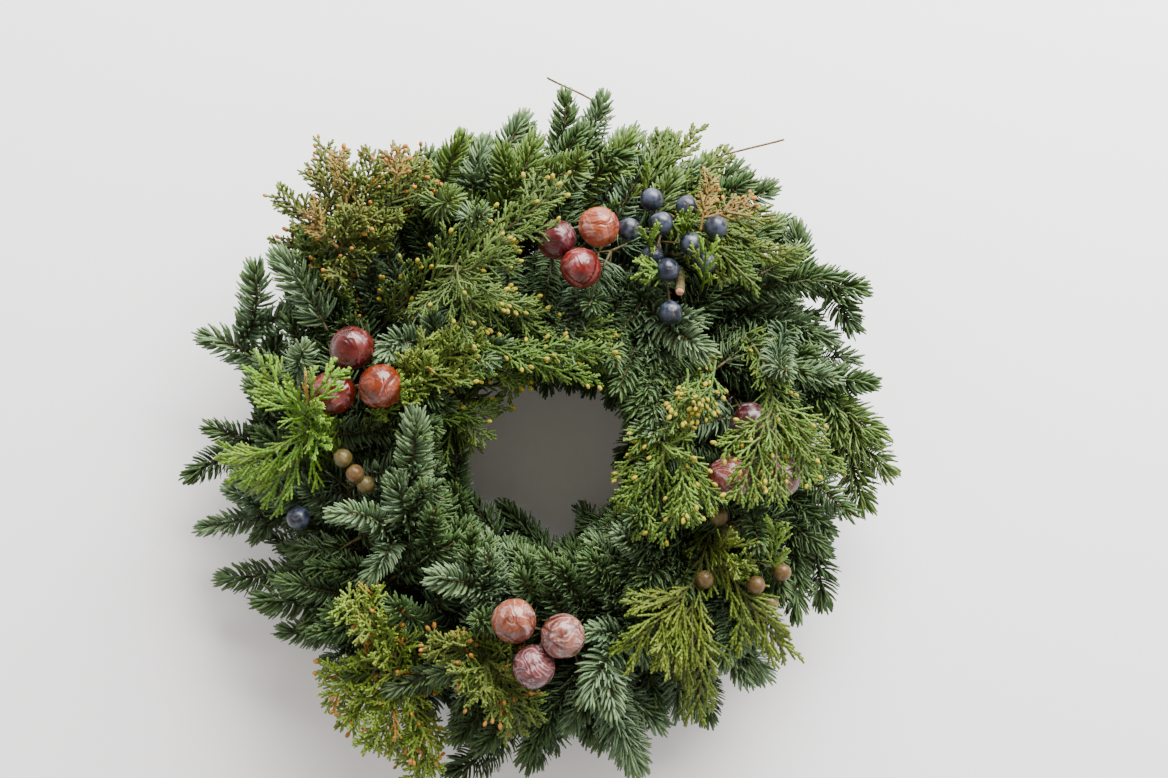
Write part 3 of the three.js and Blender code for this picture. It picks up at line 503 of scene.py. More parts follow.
def route_all():
    """The limbs of every bunch, frond and spray, in the order in which the CAD model finds them."""
    ring, wire = ring_way(), wire_way()
    claim("ring_frame", ring, [RING_WIRE] * len(ring))
    claim("binding_wire", wire, [WIRE_SIDE / 2 * math.sqrt(2)] * len(wire))
    for name, look, radius, angle, fork, middles in BERRIES:
        for middle in middles:
            claim(name, [place(middle)] * 2, [radius] * 2)
    bunches, fronds, sprays = [], [], []
    for name, look, radius, angle, fork, middles in BERRIES:
        stem = main_stem(name, angle, place(fork) - BUNCH_DROP * UP, place(fork))
        ends = [place(middle) for middle in middles]
        stalks = [[stem["points"][-1 - i % STALK_PLACES], end] for i, end in enumerate(ends)]
        for stalk in stalks:
            claim(name, stalk, [TIP_RADIUS] * 2)
        bunches.append({"name": name, "look": look, "radius": radius, "stem": stem, "stalks": stalks})
    for name, look, angle, fork, tips, cones in FRONDS:
        base = place(fork)
        ends = [place(tip) for tip in tips]
        shoots = [[base + (end - base) * FROND_HEEL + FROND_LIFT * UP, end] for end in ends]
        shoots[0][0] = base
        limbs = find_limbs(name, angle, shoots)
        fronds.append({"name": name, "look": look, "cones": cones, "limbs": limbs})
    for name, look, angle, needle, shoots in FIR:
        piece = "fir_" + name
        shoots = [[place(heel), place(tip), *habit] for heel, tip, *habit in shoots]
        limbs = find_limbs(piece, angle, shoots)
        sprays.append({"name": piece, "look": look, "needle": needle, "limbs": limbs})
    return bunches, fronds, sprays


# ------------------------ materials
class Shades:
    """The nodes of a material or of the world. A value may be a number, a colour or a node's output."""

    def __init__(self, owner):
        owner.use_nodes = True
        self.tree = owner.node_tree

    def set(self, socket, value):
        if isinstance(value, bpy.types.NodeSocket):
            self.tree.links.new(value, socket)
        else:
            socket.default_value = (*value, 1) if socket.type == "RGBA" else value

    def add(self, kind, **settings):
        node = self.tree.nodes.new("ShaderNode" + kind)
        for key, value in settings.items():
            if hasattr(node, key):
                setattr(node, key, value)
            else:
                self.set(node.inputs[key], value)
        return node

    def noise(self, scale, detail, distortion=0.0):
        """Noise fixed to the object, scale in cells for each metre."""
        where = self.add("TexCoord").outputs["Object"]
        node = self.add("TexNoise", Vector=where, Scale=scale, Detail=detail, Distortion=distortion)
        return node.outputs["Fac"]

    def math(self, operation, *values):
        node = self.add("Math", operation=operation)
        for socket, value in zip(node.inputs, values):
            self.set(socket, value)
        return node.outputs[0]

    def ramp(self, factor, *stops):
        """Colours between stops of a factor. A single number stands for a grey."""
        node = self.add("ValToRGB", Fac=factor)
        elements = node.color_ramp.elements
        for _ in stops[2:]:
            elements.new(0.5)
        for element, (position, colour) in zip(elements, stops):
            element.position = position
            element.color = (*(np.ones(3) * colour), 1)
        return node.outputs["Color"]

    def mix(self, factor, first, second, blend="MIX"):
        node = self.add("Mix", data_type="RGBA", blend_type=blend)
        for index, value in ((0, factor), (6, first), (7, second)):
            self.set(node.inputs[index], value)
        return node.outputs[2]

    def times(self, first, second):
        return self.mix(1.0, first, second, "MULTIPLY")


class Skin(Shades):
    """A material, whose colour can follow the tint of each point of the mesh."""

    def __init__(self, name, roughness, specular=0.5, **more):
        self.material = bpy.data.materials.new(name)
        super().__init__(self.material)
        self.finish({"Roughness": roughness, "Specular IOR Level": specular} | more)

    @property
    def tint(self):
        return self.add("Attribute", attribute_name="tint").outputs["Color"]

    def finish(self, values):
        for key, value in values.items():
            self.set(self.tree.nodes["Principled BSDF"].inputs[key], value)

    def paint(self, colour, height=None, strength=0.2, distance=0.0003):
        """Sets the colour, and a bump where a height is given, and returns the material."""
        self.finish({"Base Color": colour})
        if height is not None:
            bump = self.add("Bump", Height=height, Strength=strength, Distance=distance)
            self.finish({"Normal": bump.outputs["Normal"]})
        return self.material


def leaf_material(name, roughness, bloom, bloom_share):
    """Needle or scale-leaf skin, mottled, with a pale waxy bloom in patches."""
    skin = Skin(name, roughness, specular=0.28)
    mottle = skin.noise(scale=260, detail=4)
    green = skin.times(skin.tint, skin.ramp(mottle, (0.3, (0.62, 0.66, 0.6)), (0.7, (1.25, 1.22, 1.2))))
    mask = skin.ramp(skin.noise(scale=55, detail=2), (0.42, 0), (0.68, bloom_share))
    skin.finish({"Roughness": skin.ramp(mottle, (0.3, roughness - 0.1), (0.7, roughness + 0.12))})
    return skin.paint(skin.mix(mask, green, bloom))


def bark_material():
    skin = Skin("twig_bark", roughness=0.75, specular=0.3)
    grain = skin.noise(scale=700, detail=5)
    shade = skin.ramp(grain, (0.35, (0.55, 0.5, 0.42)), (0.65, (1.3, 1.25, 1.2)))
    return skin.paint(skin.times(skin.tint, shade), grain, strength=0.6)


def cone_material():
    skin = Skin("pollen_cone", roughness=0.6, specular=0.35)
    scales = skin.add("TexVoronoi", Scale=1100, Vector=skin.add("TexCoord").outputs["Object"])
    away = scales.outputs["Distance"]
    shade = skin.ramp(away, (0.0, (1.2, 1.15, 1.0)), (0.6, (0.55, 0.45, 0.3)))
    return skin.paint(skin.times(skin.tint, shade), away, strength=0.5)


def red_material(name, wax_from, wax_share):
    """Lumpy, waxy red-brown skin, with pale arcs of wax that swirl round it wherever the wax begins."""
    skin = Skin(name, roughness=0.3, specular=0.35, **{"Coat Weight": 0.15})
    cloud = skin.noise(scale=85, detail=4, distortion=1.2)
    flow = skin.noise(scale=75, detail=1.5, distortion=0.6)
    specks = skin.noise(scale=800, detail=4)
    arcs = skin.math("SINE", skin.math("MULTIPLY", flow, SWIRL_TURNS * 2 * math.pi))
    patches = skin.ramp(cloud, (0.34, (0.45, 0.34, 0.4)), (0.52, 1), (0.7, (1.4, 1.55, 1.4)))
    grains = skin.ramp(specks, (0.35, (0.7, 0.66, 0.64)), (0.7, (1.3, 1.26, 1.22)))
    colour = skin.times(skin.times(skin.tint, patches), grains)
    bands = skin.ramp(arcs, *[(position, share * wax_share) for position, share in WAX_BANDS])
    zones = skin.ramp(cloud, (wax_from, 0), (wax_from + 0.1, 1))
    flakes = skin.ramp(specks, (0.36, 0.35), (0.6, 1))
    mask = skin.times(skin.times(bands, zones), flakes)
    skin.finish({"Roughness": skin.ramp(mask, (0.0, 0.26), (0.6, 0.6))})
    return skin.paint(skin.mix(mask, colour, WAX), arcs, strength=0.3)


def berry_material(name, bloom, bloom_share, roughness):
    """Matte berry skin with a cloudy bloom that is rubbed off in places."""
    skin = Skin(name, roughness, specular=0.35)
    cloud = skin.noise(scale=260, detail=4)
    mask = skin.ramp(cloud, (0.42, 0), (0.6, bloom_share))
    shade = skin.ramp(skin.noise(scale=1600, detail=2), (0.3, 0.82), (0.7, 1.12))
    return skin.paint(skin.times(skin.mix(mask, skin.tint, bloom), shade), cloud, distance=0.0005)


def metal_material(name, colour, worn, roughness):
    skin = Skin(name, roughness, Metallic=0.7)
    wear = skin.noise(scale=420, detail=4)
    return skin.paint(skin.ramp(wear, (0.4, colour), (0.7, worn)), wear, distance=0.0002)


BLOOM = srgb(136, 156, 124)
WAX = srgb(166, 154, 164)
SWIRL_TURNS = 9  # swirls of wax over the whole range of the noise that they follow
WAX_BANDS = [(0.2, 0.1), (0.6, 0.3), (0.85, 1.0), (1.0, 0.5)]
MATERIALS = {
    "frosted": leaf_material("fir_frosted_needles", 0.55, BLOOM, 0.25),
    "deep": leaf_material("fir_deep_needles", 0.48, BLOOM, 0.1),
    "fresh": leaf_material("fir_fresh_needles", 0.5, BLOOM, 0.08),
    "cedar": leaf_material("cedar_scales", 0.55, srgb(130, 150, 70), 0.12),
    "juniper": leaf_material("juniper_scales", 0.6, srgb(108, 88, 38), 0.22),
    "cypress": leaf_material("cypress_scales", 0.5, srgb(140, 140, 50), 0.2),
    "bark": bark_material(),
    "cone": cone_material(),
    "red": red_material("red_fruit", 0.52, 0.5),
    "waxed": red_material("waxed_red_fruit", 0.38, 0.7),
    "blue": berry_material("blue_berry_skin", srgb(98, 108, 130), 0.3, 0.32),
    "tan": berry_material("tan_berry_skin", srgb(136, 126, 84), 0.26, 0.36),
    "ring": metal_material("ring_rod", srgb(52, 56, 44), srgb(84, 78, 60), 0.45),
    "wire": metal_material("florist_wire", srgb(76, 58, 28), srgb(112, 88, 46), 0.5),
}
# Base tints of the looks. Each needle varies a little.
TINTS = {
    "frosted": srgb(80, 102, 72), "deep": srgb(56, 78, 42), "fresh": srgb(76, 98, 42),
    "cedar": srgb(62, 84, 28), "juniper": srgb(74, 86, 32), "cypress": srgb(68, 98, 24),
    "bark": srgb(72, 66, 40), "bud": srgb(104, 84, 52),
}


# ------------------------ meshes
SEEDS = {"wire": 77, "bunch": 100, "frond": 200, "spray": 300, "loose": 400, "bough": 900}


class Growth:
    """One piece in the making: its points, faces, a tint for each point and a material for each face.

    Its look gives its slot, its seed all that is random in it, and its tone makes its foliage darker or
    brighter, and in the sprays in and round the hole this darkening is painted shade. Cords and their tips
    wait here until they are clad in scales and cones.
    """

    def __init__(self, look, seed=0, tone=1.0):
        self.look = look
        self.rng = np.random.default_rng(seed)
        self.tone = tone
        self.points, self.faces, self.tints = [], [], []
        self.count = 0
        self.cords, self.tips = [], []

    def add(self, points, faces, tints, material):
        """Adds points, sets of faces that number them from 0, and their tint or tints."""
        points = np.asarray(points).reshape(-1, 3)
        self.points.append(points)
        self.faces += [(part + self.count, material) for part in faces]
        self.tints.append(np.broadcast_to(np.asarray(tints).reshape(-1, 3), points.shape))
        self.count += len(points)

    def add_tubes(self, rings, tints, material):
        """Several closed tubes. Rings are points in the order tube, station, side."""
        index = np.arange(rings[..., 0].size).reshape(rings.shape[:3])
        beside = np.roll(index, -1, axis=2)
        quads = np.stack([index[:, :-1], beside[:, :-1], beside[:, 1:], index[:, 1:]], -1)
        self.add(rings, [quads.reshape(-1, 4), index[:, 0, ::-1], index[:, -1]], tints, material)

    def add_limb(self, path, radii, tint=TINTS["bark"], material="bark", sides=7):
        """A round limb along a path, with a radius at each point."""
        ahead, level, upper = axes_along(path)
        turn = np.arange(sides) * 2 * math.pi / sides
        ring = level[:, None] * np.cos(turn)[None, :, None] + upper[:, None] * np.sin(turn)[None, :, None]
        rings = path[:, None] + ring * np.asarray(radii)[:, None, None]
        self.add_tubes(rings[None], tint, material)

    def build(self, name, *nodes):
        """Makes the piece, which rides on the wreath and stands for the CAD nodes that it replaces."""
        points = (np.vstack(self.points) + MIDDLE) * MM
        names = sorted({material for _, material in self.faces})
        loops = np.concatenate([faces.ravel() for faces, _ in self.faces]).astype(np.int32)
        sizes = np.concatenate([np.full(len(faces), faces.shape[1]) for faces, _ in self.faces])
        kinds = np.concatenate([np.full(len(faces), names.index(m)) for faces, m in self.faces])
        mesh = bpy.data.meshes.new(name)
        mesh.vertices.add(len(points))
        mesh.loops.add(len(loops))
        mesh.polygons.add(len(sizes))
        mesh.vertices.foreach_set("co", points.astype(np.float32).ravel())
        mesh.loops.foreach_set("vertex_index", loops)
        mesh.polygons.foreach_set("loop_start", (np.cumsum(sizes) - sizes).astype(np.int32))
        mesh.polygons.foreach_set("material_index", kinds.astype(np.int32))
        mesh.update(calc_edges=True)
        mesh.shade_smooth()
        tint = mesh.color_attributes.new("tint", "FLOAT_COLOR", "POINT")
        colours = np.column_stack([np.vstack(self.tints), np.ones(len(points))])
        tint.data.foreach_set("color", colours.astype(np.float32).ravel())
        for material in names:
            mesh.materials.append(MATERIALS[material])
        piece = bpy.data.objects.new(name, mesh)
        bpy.context.collection.objects.link(piece)
        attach(piece, "root")
        if nodes:
            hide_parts(*nodes)


def ball_template(subdivisions):
    """The points and triangles of a unit ball."""
    ball = bmesh.new()
    bmesh.ops.create_icosphere(ball, subdivisions=subdivisions, radius=1.0)
    points = np.array([vertex.co[:] for vertex in ball.verts])
    faces = np.array([[vertex.index for vertex in face.verts] for face in ball.faces])
    ball.free()
    return points, faces


FRUIT_BALL, FRUIT_FACES = ball_template(5)
BERRY_BALL, BERRY_FACES = ball_template(4)
SMALL_BALL, SMALL_FACES = ball_template(2)


def egg(ahead, tilt, slim, stretch):
    """A small ball's points, drawn out along a direction."""
    side = unit(np.cross(ahead, UP + tilt))
    round_it = SMALL_BALL[:, :1] * side + SMALL_BALL[:, 1:2] * np.cross(ahead, side)
    return round_it * slim + SMALL_BALL[:, 2:] * ahead * stretch


# ------------------------ needles
# Sprays that are darker or brighter than others of their look. The darkening of the sprays in and round
# the hole, fir_inner_* and fir_hole_*, is painted shade.
TONES_AND_HOLE_SHADE = {
    "cypress_top_right": 0.55, "cypress_left_fan": 1.2, "juniper_low_left": 1.1, "juniper_top_left": 0.9,
    "cedar_top": 0.88, "juniper_bottom": 0.85, "fir_inner_left_arc": 0.95, "fir_inner_bottom_comb": 0.85,
    "fir_inner_right_rim": 0.62, "fir_inner_top_fan": 0.8, "fir_left_upright": 1.4, "fir_hole_top": 0.75,
    "fir_hole_bottom": 0.85, "fir_right_shoulder": 0.85, "fir_inner_right_fan": 0.9,
}
# A needle's outline, at places along it: half widths, and tint. Its section is a flat kite, whose last
# corner is the underside. The needles of the low boughs are plainer, without it, and further apart.
FINE_NEEDLE = Form(
    shares=np.array([0.0, 0.28, 0.68, 1.0]), widths=np.array([0.5, 1.0, 0.96, 0.42]),
    tints=np.array([0.55, 0.88, 1.06, 1.16]), section=[(1, 0), (0, 0.36), (-1, 0), (0, -0.58)],
    pitch=0.32,
)
PLAIN_NEEDLE = Form(
    shares=np.array([0.0, 0.45, 1.0]), widths=np.array([0.6, 1.0, 0.45]),
    tints=np.array([0.6, 0.95, 1.15]), section=[(1, 0), (0, 0.36), (-1, 0)], pitch=0.45,
)
UNDERSIDE = 1.25
# How the needles of a shoot stand: their lean at its tip and further down, in degrees, how much the lower
# ones are turned up, how far they fold to the two sides, and how far their ends rise.
HABITS = {
    "round": Form(lean=(20, 64), lift=0.5, fold=0.0, bare=0.34, rise=0.3),
    "flat": Form(lean=(22, 70), lift=0.85, fold=0.15, bare=0.34, rise=0.45),
    "star": Form(lean=(26, 78), lift=0.0, fold=0.0, bare=0.4, rise=0.15),
}
# How much the needles of one shoot differ.
SCATTER = Form(
    place=0.6, turn=0.25, lean=5, end=0.08, facing=0.22, length=(0.85, 1.1),
    width=(0.85, 1.15), bright=(0.74, 1.24), warm=0.06,
)
NEEDLE_WIDTH = 1.6
FEWEST_NEEDLES = 10
GOLDEN_ANGLE = math.radians(137.508)
FULL_LEAN = 16  # from a shoot's tip to where its needles stand out most
LEAN_CURVE = 0.7
FACING_AHEAD = 0.5
TIP_LENGTH = 0.6  # of a needle at the tip, and what is added further down
MORE_LENGTH = 0.3
LIFT_STRENGTH = 1.35
FOLD_STRENGTH = 0.55
WIDER_ROOT = math.radians(12)  # how much further a needle leans at its root, and how much less at its end
CLOSER_END = math.radians(22)
WARM_SHIFT = np.array([1.0, 0.2, -1.0])
FRESH_TIP = 0.22 * np.array([1.0, 0.9, 0.2])
FRESH_PART = 2.5  # the fresh part of a shoot is one in this many
BUD_SIZE = 0.85
BUD_FORM = {"tilt": 0.01, "slim": 0.8, "stretch": 1.25}
BUD_BUMPS = 0.1
BUD_PITCH = 9
BUD_BRIGHT = (0.8, 1.2)
BUD_SEAT = 0.6
STEM_POINTS = 24
SIDE_BARE = 0.12


def add_needles(growth, roots, starts, ends, facing, lengths, widths, tints, form):
    """Flat curved needles with blunt tips, each bending from one direction to another."""
    along = form.shares[None, :, None]
    centre = bent(roots[:, None], lengths[:, None, None], starts[:, None], ends[:, None], along)
    ahead = unit(starts[:, None] * (1 - along) + ends[:, None] * along)
    across = unit(np.cross(facing[:, None], ahead))
    face = np.cross(ahead, across)
    half = 0.5 * widths[:, None, None] * form.widths[None, :, None]
    rings = np.stack([centre + across * half * u + face * half * v for u, v in form.section], axis=2)
    shade = tints[:, None, None, :] * form.tints[None, :, None, None]
    shade = np.repeat(shade, len(form.section), axis=2)
    shade[:, :, 3:] *= UNDERSIDE
    growth.add_tubes(rings, shade, growth.look)


def brush(growth, path, total, bare, needle, habit, form):
    """The needles of one shoot, from its bare part to its tip."""
    rng, way = growth.rng, HABITS[habit]
    bearing = total * (1 - bare)
    count = max(FEWEST_NEEDLES, int(bearing / form.pitch))
    down = 1 - (np.arange(count) + rng.random(count) * SCATTER.place) / count
    at = (bare + (1 - bare) * (1 - down)) * (len(path) - 1)
    run = np.arange(len(path))
    centre, ahead, level, upper = [between(at, run, source) for source in (path, *axes_along(path))]
    turn = np.arange(count) * GOLDEN_ANGLE + rng.normal(0, SCATTER.turn, count)
    aside, above = np.cos(turn), np.sin(turn)
    above = np.where(above < 0, above * (1 - LIFT_STRENGTH * way.lift), above)
    above = above * (1 - way.fold * FOLD_STRENGTH)
    radial = unit(level * aside[:, None] + upper * above[:, None])
    tip_lean, base_lean = way.lean
    from_tip = np.minimum(1, down * bearing / FULL_LEAN)
    lean = tip_lean + (base_lean - tip_lean) * from_tip**LEAN_CURVE + rng.normal(0, SCATTER.lean, count)
    wide, close = np.radians(lean)[:, None] + WIDER_ROOT, np.radians(lean)[:, None] - CLOSER_END
    starts = unit(ahead * np.cos(wide) + radial * np.sin(wide))
    ends = ahead * np.cos(close) + radial * np.sin(close) + UP * way.rise
    ends = unit(ends + rng.normal(0, SCATTER.end, (count, 3)))
    facing = unit(ahead * FACING_AHEAD + upper + rng.normal(0, SCATTER.facing, (count, 3)))
    lengths = needle * (TIP_LENGTH + MORE_LENGTH * np.sqrt(from_tip)) * rng.uniform(*SCATTER.length, count)
    widths = NEEDLE_WIDTH * rng.uniform(*SCATTER.width, count)
    bright = rng.uniform(*SCATTER.bright, count)[:, None]
    warm = 1 + rng.normal(0, SCATTER.warm, (count, 1)) * WARM_SHIFT
    fresh = 1 + (1 - np.minimum(1, down * FRESH_PART))[:, None] * FRESH_TIP
    tints = TINTS[growth.look] * bright * warm * fresh * growth.tone
    tips = centre + lengths[:, None] * 0.5 * (starts + ends)
    keep = (tips[:, 2] > LOWEST_FOLIAGE) & (centre[:, 2] > LOWEST_FOLIAGE)
    columns = (centre, starts, ends, facing, lengths, widths, tints)
    add_needles(growth, *[column[keep] for column in columns], form)


def add_shoot(growth, limb, bare, needle, habit, form=FINE_NEEDLE):
    """A limb with its bark, its needles and a small scaly bud at its end."""
    path, total, radii = smooth_limb(limb, STEM_POINTS)
    growth.add_limb(path, radii)
    brush(growth, path, total, bare, needle, habit, form)
    ahead = unit(path[-1] - path[-2])
    bumps = 1 + BUD_BUMPS * np.sin(SMALL_BALL @ growth.rng.normal(0, BUD_PITCH, 3))
    tint = TINTS["bud"] * growth.rng.uniform(*BUD_BRIGHT)
    shape = egg(ahead, **BUD_FORM) * bumps[:, None] * BUD_SIZE
    growth.add(path[-1] + ahead * BUD_SIZE * BUD_SEAT + shape, [SMALL_FACES], tint, "bark")
    return path, total


# Sprays whose shoots bear no side twigs.
SINGLE_SHOOTS = ("fir_inner_left_arc", "fir_left_bud", "fir_inner_bottom_comb", "fir_hole_left")
# Twigs keep between these distances from the middle and these heights.
TWIG_ROOM = ((50, 152), (6, 92))
TWIG_RADII = (0.7, 0.45)
TWIG_BARE = 0.1
# Side twigs. Their length is in needles, and falls from foot to tip. Their own needles are shorter.
TWIGS = Form(
    spacing=13, counted=0.94, last=0.9, even=0.3, loose=0.4, length=(1.6, 2.6),
    foot=1.15, fall=0.6, ahead=0.62, aside=0.78, lift=(-0.2, 0.25), bend=0.5, needle=0.9,
    points=6,
)


def add_twig(growth, points, needle, form=FINE_NEEDLE):
    add_shoot(growth, {"points": points, "radii": TWIG_RADII}, TWIG_BARE, needle, "round", form)


def add_twigs(growth, path, total, bare, needle):
    """Side twigs to the left and right of a shoot, where they stay inside the wreath."""
    rng, way = growth.rng, TWIGS
    ahead, level, upper = axes_along(path)
    count = int(total * (way.counted - bare) / way.spacing)
    for _, share, k, sign in spots_along(path, rng, bare, way.last, count, way.even, way.loose):
        length = needle * rng.uniform(*way.length) * (way.foot - way.fall * share)
        side = sign * level[k] * way.aside
        start = unit(ahead[k] * way.ahead + side + upper[k] * rng.uniform(*way.lift))
        end = unit(start + ahead[k] * way.bend)
        points = bent(path[k], length, start, end, np.linspace(0, 1, way.points)[:, None])
        reach_and_height = math.hypot(*points[-1][:2]), points[-1][2]
        if all(low < value < high for value, (low, high) in zip(reach_and_height, TWIG_ROOM)):
            add_twig(growth, points, needle * way.needle)


def make_spray(spray, seed):
    """One fir spray: its stem and shoots as in the CAD model, with side twigs and all their needles."""
    growth = Growth(spray["look"], seed, TONES_AND_HOLE_SHADE.get(spray["name"], 1.0))
    for limb in spray["limbs"]:
        habit = limb["habit"]
        bare = HABITS[habit].bare if limb["main"] else SIDE_BARE
        path, total = add_shoot(growth, limb, bare, spray["needle"], habit)
        if habit != "star" and spray["name"] not in SINGLE_SHOOTS:
            add_twigs(growth, path, total, bare, spray["needle"])
    growth.build(spray["name"] + "_needles", spray["name"])


# ------------------------ low boughs
BOUGH_NEEDLE = 12
BOUGH_LOOKS = ("deep", "frosted", "deep", "deep")
# A bough's stem, whose head lags some degrees behind its foot, and the twigs, which arch and lag too.
BOUGH = Form(lag=12, aside=(-6, 6), height=(50, 58), bend=20, steps=8, radii=(1.0, 0.6))
BOUGH_TWIG = Form(first=2, stride=5, places=7, lag=(4, 26), arch=(2, 10), steps=6)
INWARD = Form(count=14, reach=(48, 58), height=(8, 88), fuller_by=0)
OUTWARD = Form(count=11, reach=(116, 153), height=(10, 60), fuller_by=18)
FULLER_SIDE = 62  # the angle round which the outer foliage reaches further


def make_low_bough(index):
    """Fir twigs that fill the wreath's depth between the sprays, and wall its hole."""
    growth = Growth(BOUGH_LOOKS[index % len(BOUGH_LOOKS)], SEEDS["bough"] + index)
    rng = growth.rng
    angle = index * GAP_ANGLE + GAP_ANGLE / 2
    foot = beside_ring(angle + GAP_ANGLE, 0, LAYERS[1])
    reach = RING_RADIUS + rng.uniform(*BOUGH.aside)
    head = place([angle - BOUGH.lag, reach, rng.uniform(*BOUGH.height)])
    stem = bezier([foot, beside_ring(angle, 0, BOUGH.bend), head], BOUGH.steps)
    growth.add_limb(stem, np.linspace(*BOUGH.radii, len(stem)))
    for room in (INWARD, OUTWARD):
        low, high = room.height
        for i in range(room.count):
            start = stem[BOUGH_TWIG.first + (i * BOUGH_TWIG.stride) % BOUGH_TWIG.places]
            height = low + (high - low) * (i + rng.random()) / room.count
            way = angle - rng.uniform(*BOUGH_TWIG.lag)
            fuller = room.fuller_by * max(0, math.cos(math.radians(way - FULLER_SIDE)))
            tip = place([way, rng.uniform(*room.reach) + fuller, height])
            middle = (start + tip) / 2 + UP * rng.uniform(*BOUGH_TWIG.arch)
            points = bezier([start, middle, tip], BOUGH_TWIG.steps)
            add_twig(growth, points, BOUGH_NEEDLE, PLAIN_NEEDLE)
    growth.build(f"low_bough_{index:02d}")


# ------------------------ scale-leaved fronds
# How each frond grows: its branchlets, how far they leave its plane (bush), the width and thickness of
# the cords and the length of a scale, the tips' tint, its side branches, the share of orange branchlets.
FROND_WAYS = {
    "cedar": Form(
        length=19, spacing=3.0, angle=30, bush=0.25, width=1.9, thick=0.9, scale=1.7,
        tips=srgb(92, 114, 40), branch=32, branch_spacing=11, orange=0.0,
    ),
    "juniper": Form(
        length=18, spacing=1.7, angle=40, bush=0.7, width=2.0, thick=1.0, scale=1.6,
        tips=srgb(108, 128, 38), branch=24, branch_spacing=8, orange=0.03,
    ),
    "cypress": Form(
        length=24, spacing=3.8, angle=24, bush=0.25, width=2.4, thick=0.65, scale=2.0,
        tips=srgb(98, 122, 34), branch=30, branch_spacing=20, orange=0.01,
    ),
}
ORANGE = srgb(150, 96, 40)
# The width of a scale at its foot and across the narrow way, and of the cord's blunt end.
SCALE_FOOT = 0.62
SCALE_NARROW = 0.74
CORD_END = 0.16
# How dark a scale is at its foot, at its middle and at the cord's end.
SCALE_SHADES = (0.66, 1.18, 1.25)
TIP_SHARE = 0.5  # of the tips' own tint at a cord's end
TIP_CURVE = 1.5
SCALE_LENGTH = 0.86  # of the distance from one pair of scales to the next
CORD_TAPER = 0.35
# A branchlet. Its length grows from the least with the limb's fullness there.
BRANCHLET = Form(
    loose=0.5, least=0.3, full=0.75, length=(0.8, 1.15), angle=(0.8, 1.2), lift=0.06,
    bend=0.35, hang=0.12, stray=0.06, facing=0.15, bright=(0.7, 1.3), orange=(0.7, 1.1),
)
# A smaller branchlet on it, its length falling from foot to tip, and where these grow.
SMALLER = Form(
    angle=(0.75, 1.15), bend=0.3, foot=0.52, fall=0.34, length=(0.8, 1.2), size=0.86,
    bright=(0.85, 1.2),
)
SMALLER_SHARES = (0.25, 0.45, 0.65, 0.82)
SHORTEST_REST = 2.2  # no smaller branchlet leaves closer to its bearer's end
FEWEST_BRANCHLETS = 4
FULL_FROM = 0.2  # where on a half wave a limb's fullness begins, and how far it runs
FULL_SPAN = 0.78
FULL_CURVE = 0.7
# A side branch, and the bare share and the size of its branchlets.
BRANCH = Form(
    last=0.92, aside=(0.5, 0.9), lift=(-0.6, 1.0), bend=0.6, length=(0.7, 1.15),
    foot=1.1, fall=0.5, points=12, radii=(0.55, 0.35), bare=0.15, size=0.6,
)
LIMB_POINTS = 30
LIMB_SLIMMER = 0.85
LIMB_TINT = (0.6, 0.4)  # the shares of bark and of the scales' green
FROND_BARE = 0.4  # the share of a main stem without branchlets, and without branches
BRANCH_BARE = 0.35
LAST_CORD = 6.0  # the length of the cord at a limb's end
LAST_FACING = 0.2  # how far that cord's face leans ahead
STEM_GREEN = 0.7  # how dark the stems of young shoots are, of the scales' own green
# Foliage that would stand higher than this bends over, within the room above it.
TOP_BEND = 96
TOP_ROOM = 6
# Fronds that are open, without side branches, but for the first of each limb.
OPEN_FRONDS = ("cedar_right_down", "cypress_low_right", "cypress_top_right")
# Fronds with shorter branchlets, and how much shorter.
SHORT_FRONDS = {"cypress_top_right": 0.68, "juniper_low_left": 0.85}
# Fronds whose tint differs from their look's.
OTHER_TINTS = {
    "juniper_low_left": srgb(100, 124, 40), "juniper_bottom": srgb(84, 104, 36),
    "cypress_left_fan": srgb(72, 112, 26), "juniper_upright": srgb(84, 104, 34),
    "cypress_low_right": srgb(78, 94, 24), "cypress_top_right": srgb(70, 100, 22),
    "cedar_right_left": srgb(76, 102, 32), "cedar_right_down": srgb(76, 102, 32),
}
CONE_SHARE = {"cedar": 0.08, "juniper": 0.05, "cypress": 0.0}
CONE_TINTS = {"cedar": srgb(166, 163, 50), "juniper": srgb(176, 126, 50)}
CONE_FORM = {"tilt": 0.013, "slim": 0.85, "stretch": 1.3}
CONE_SIZE = (1.0, 1.35)
CONE_BRIGHT = (0.75, 1.15)
CONE_SEAT = 0.7
# Rows of scales: their height, and how many there are from foot to tip and round the cone.
CONE_ROWS = 1 + 0.09 * np.sin(SMALL_BALL[:, 2:] * 11) * np.cos(
    4 * np.arctan2(SMALL_BALL[:, 1:2], SMALL_BALL[:, :1]))


def under_top(points):
    above = np.maximum(0, points[..., 2:] - TOP_BEND)
    return points - (above - TOP_ROOM * np.tanh(above / TOP_ROOM)) * UP


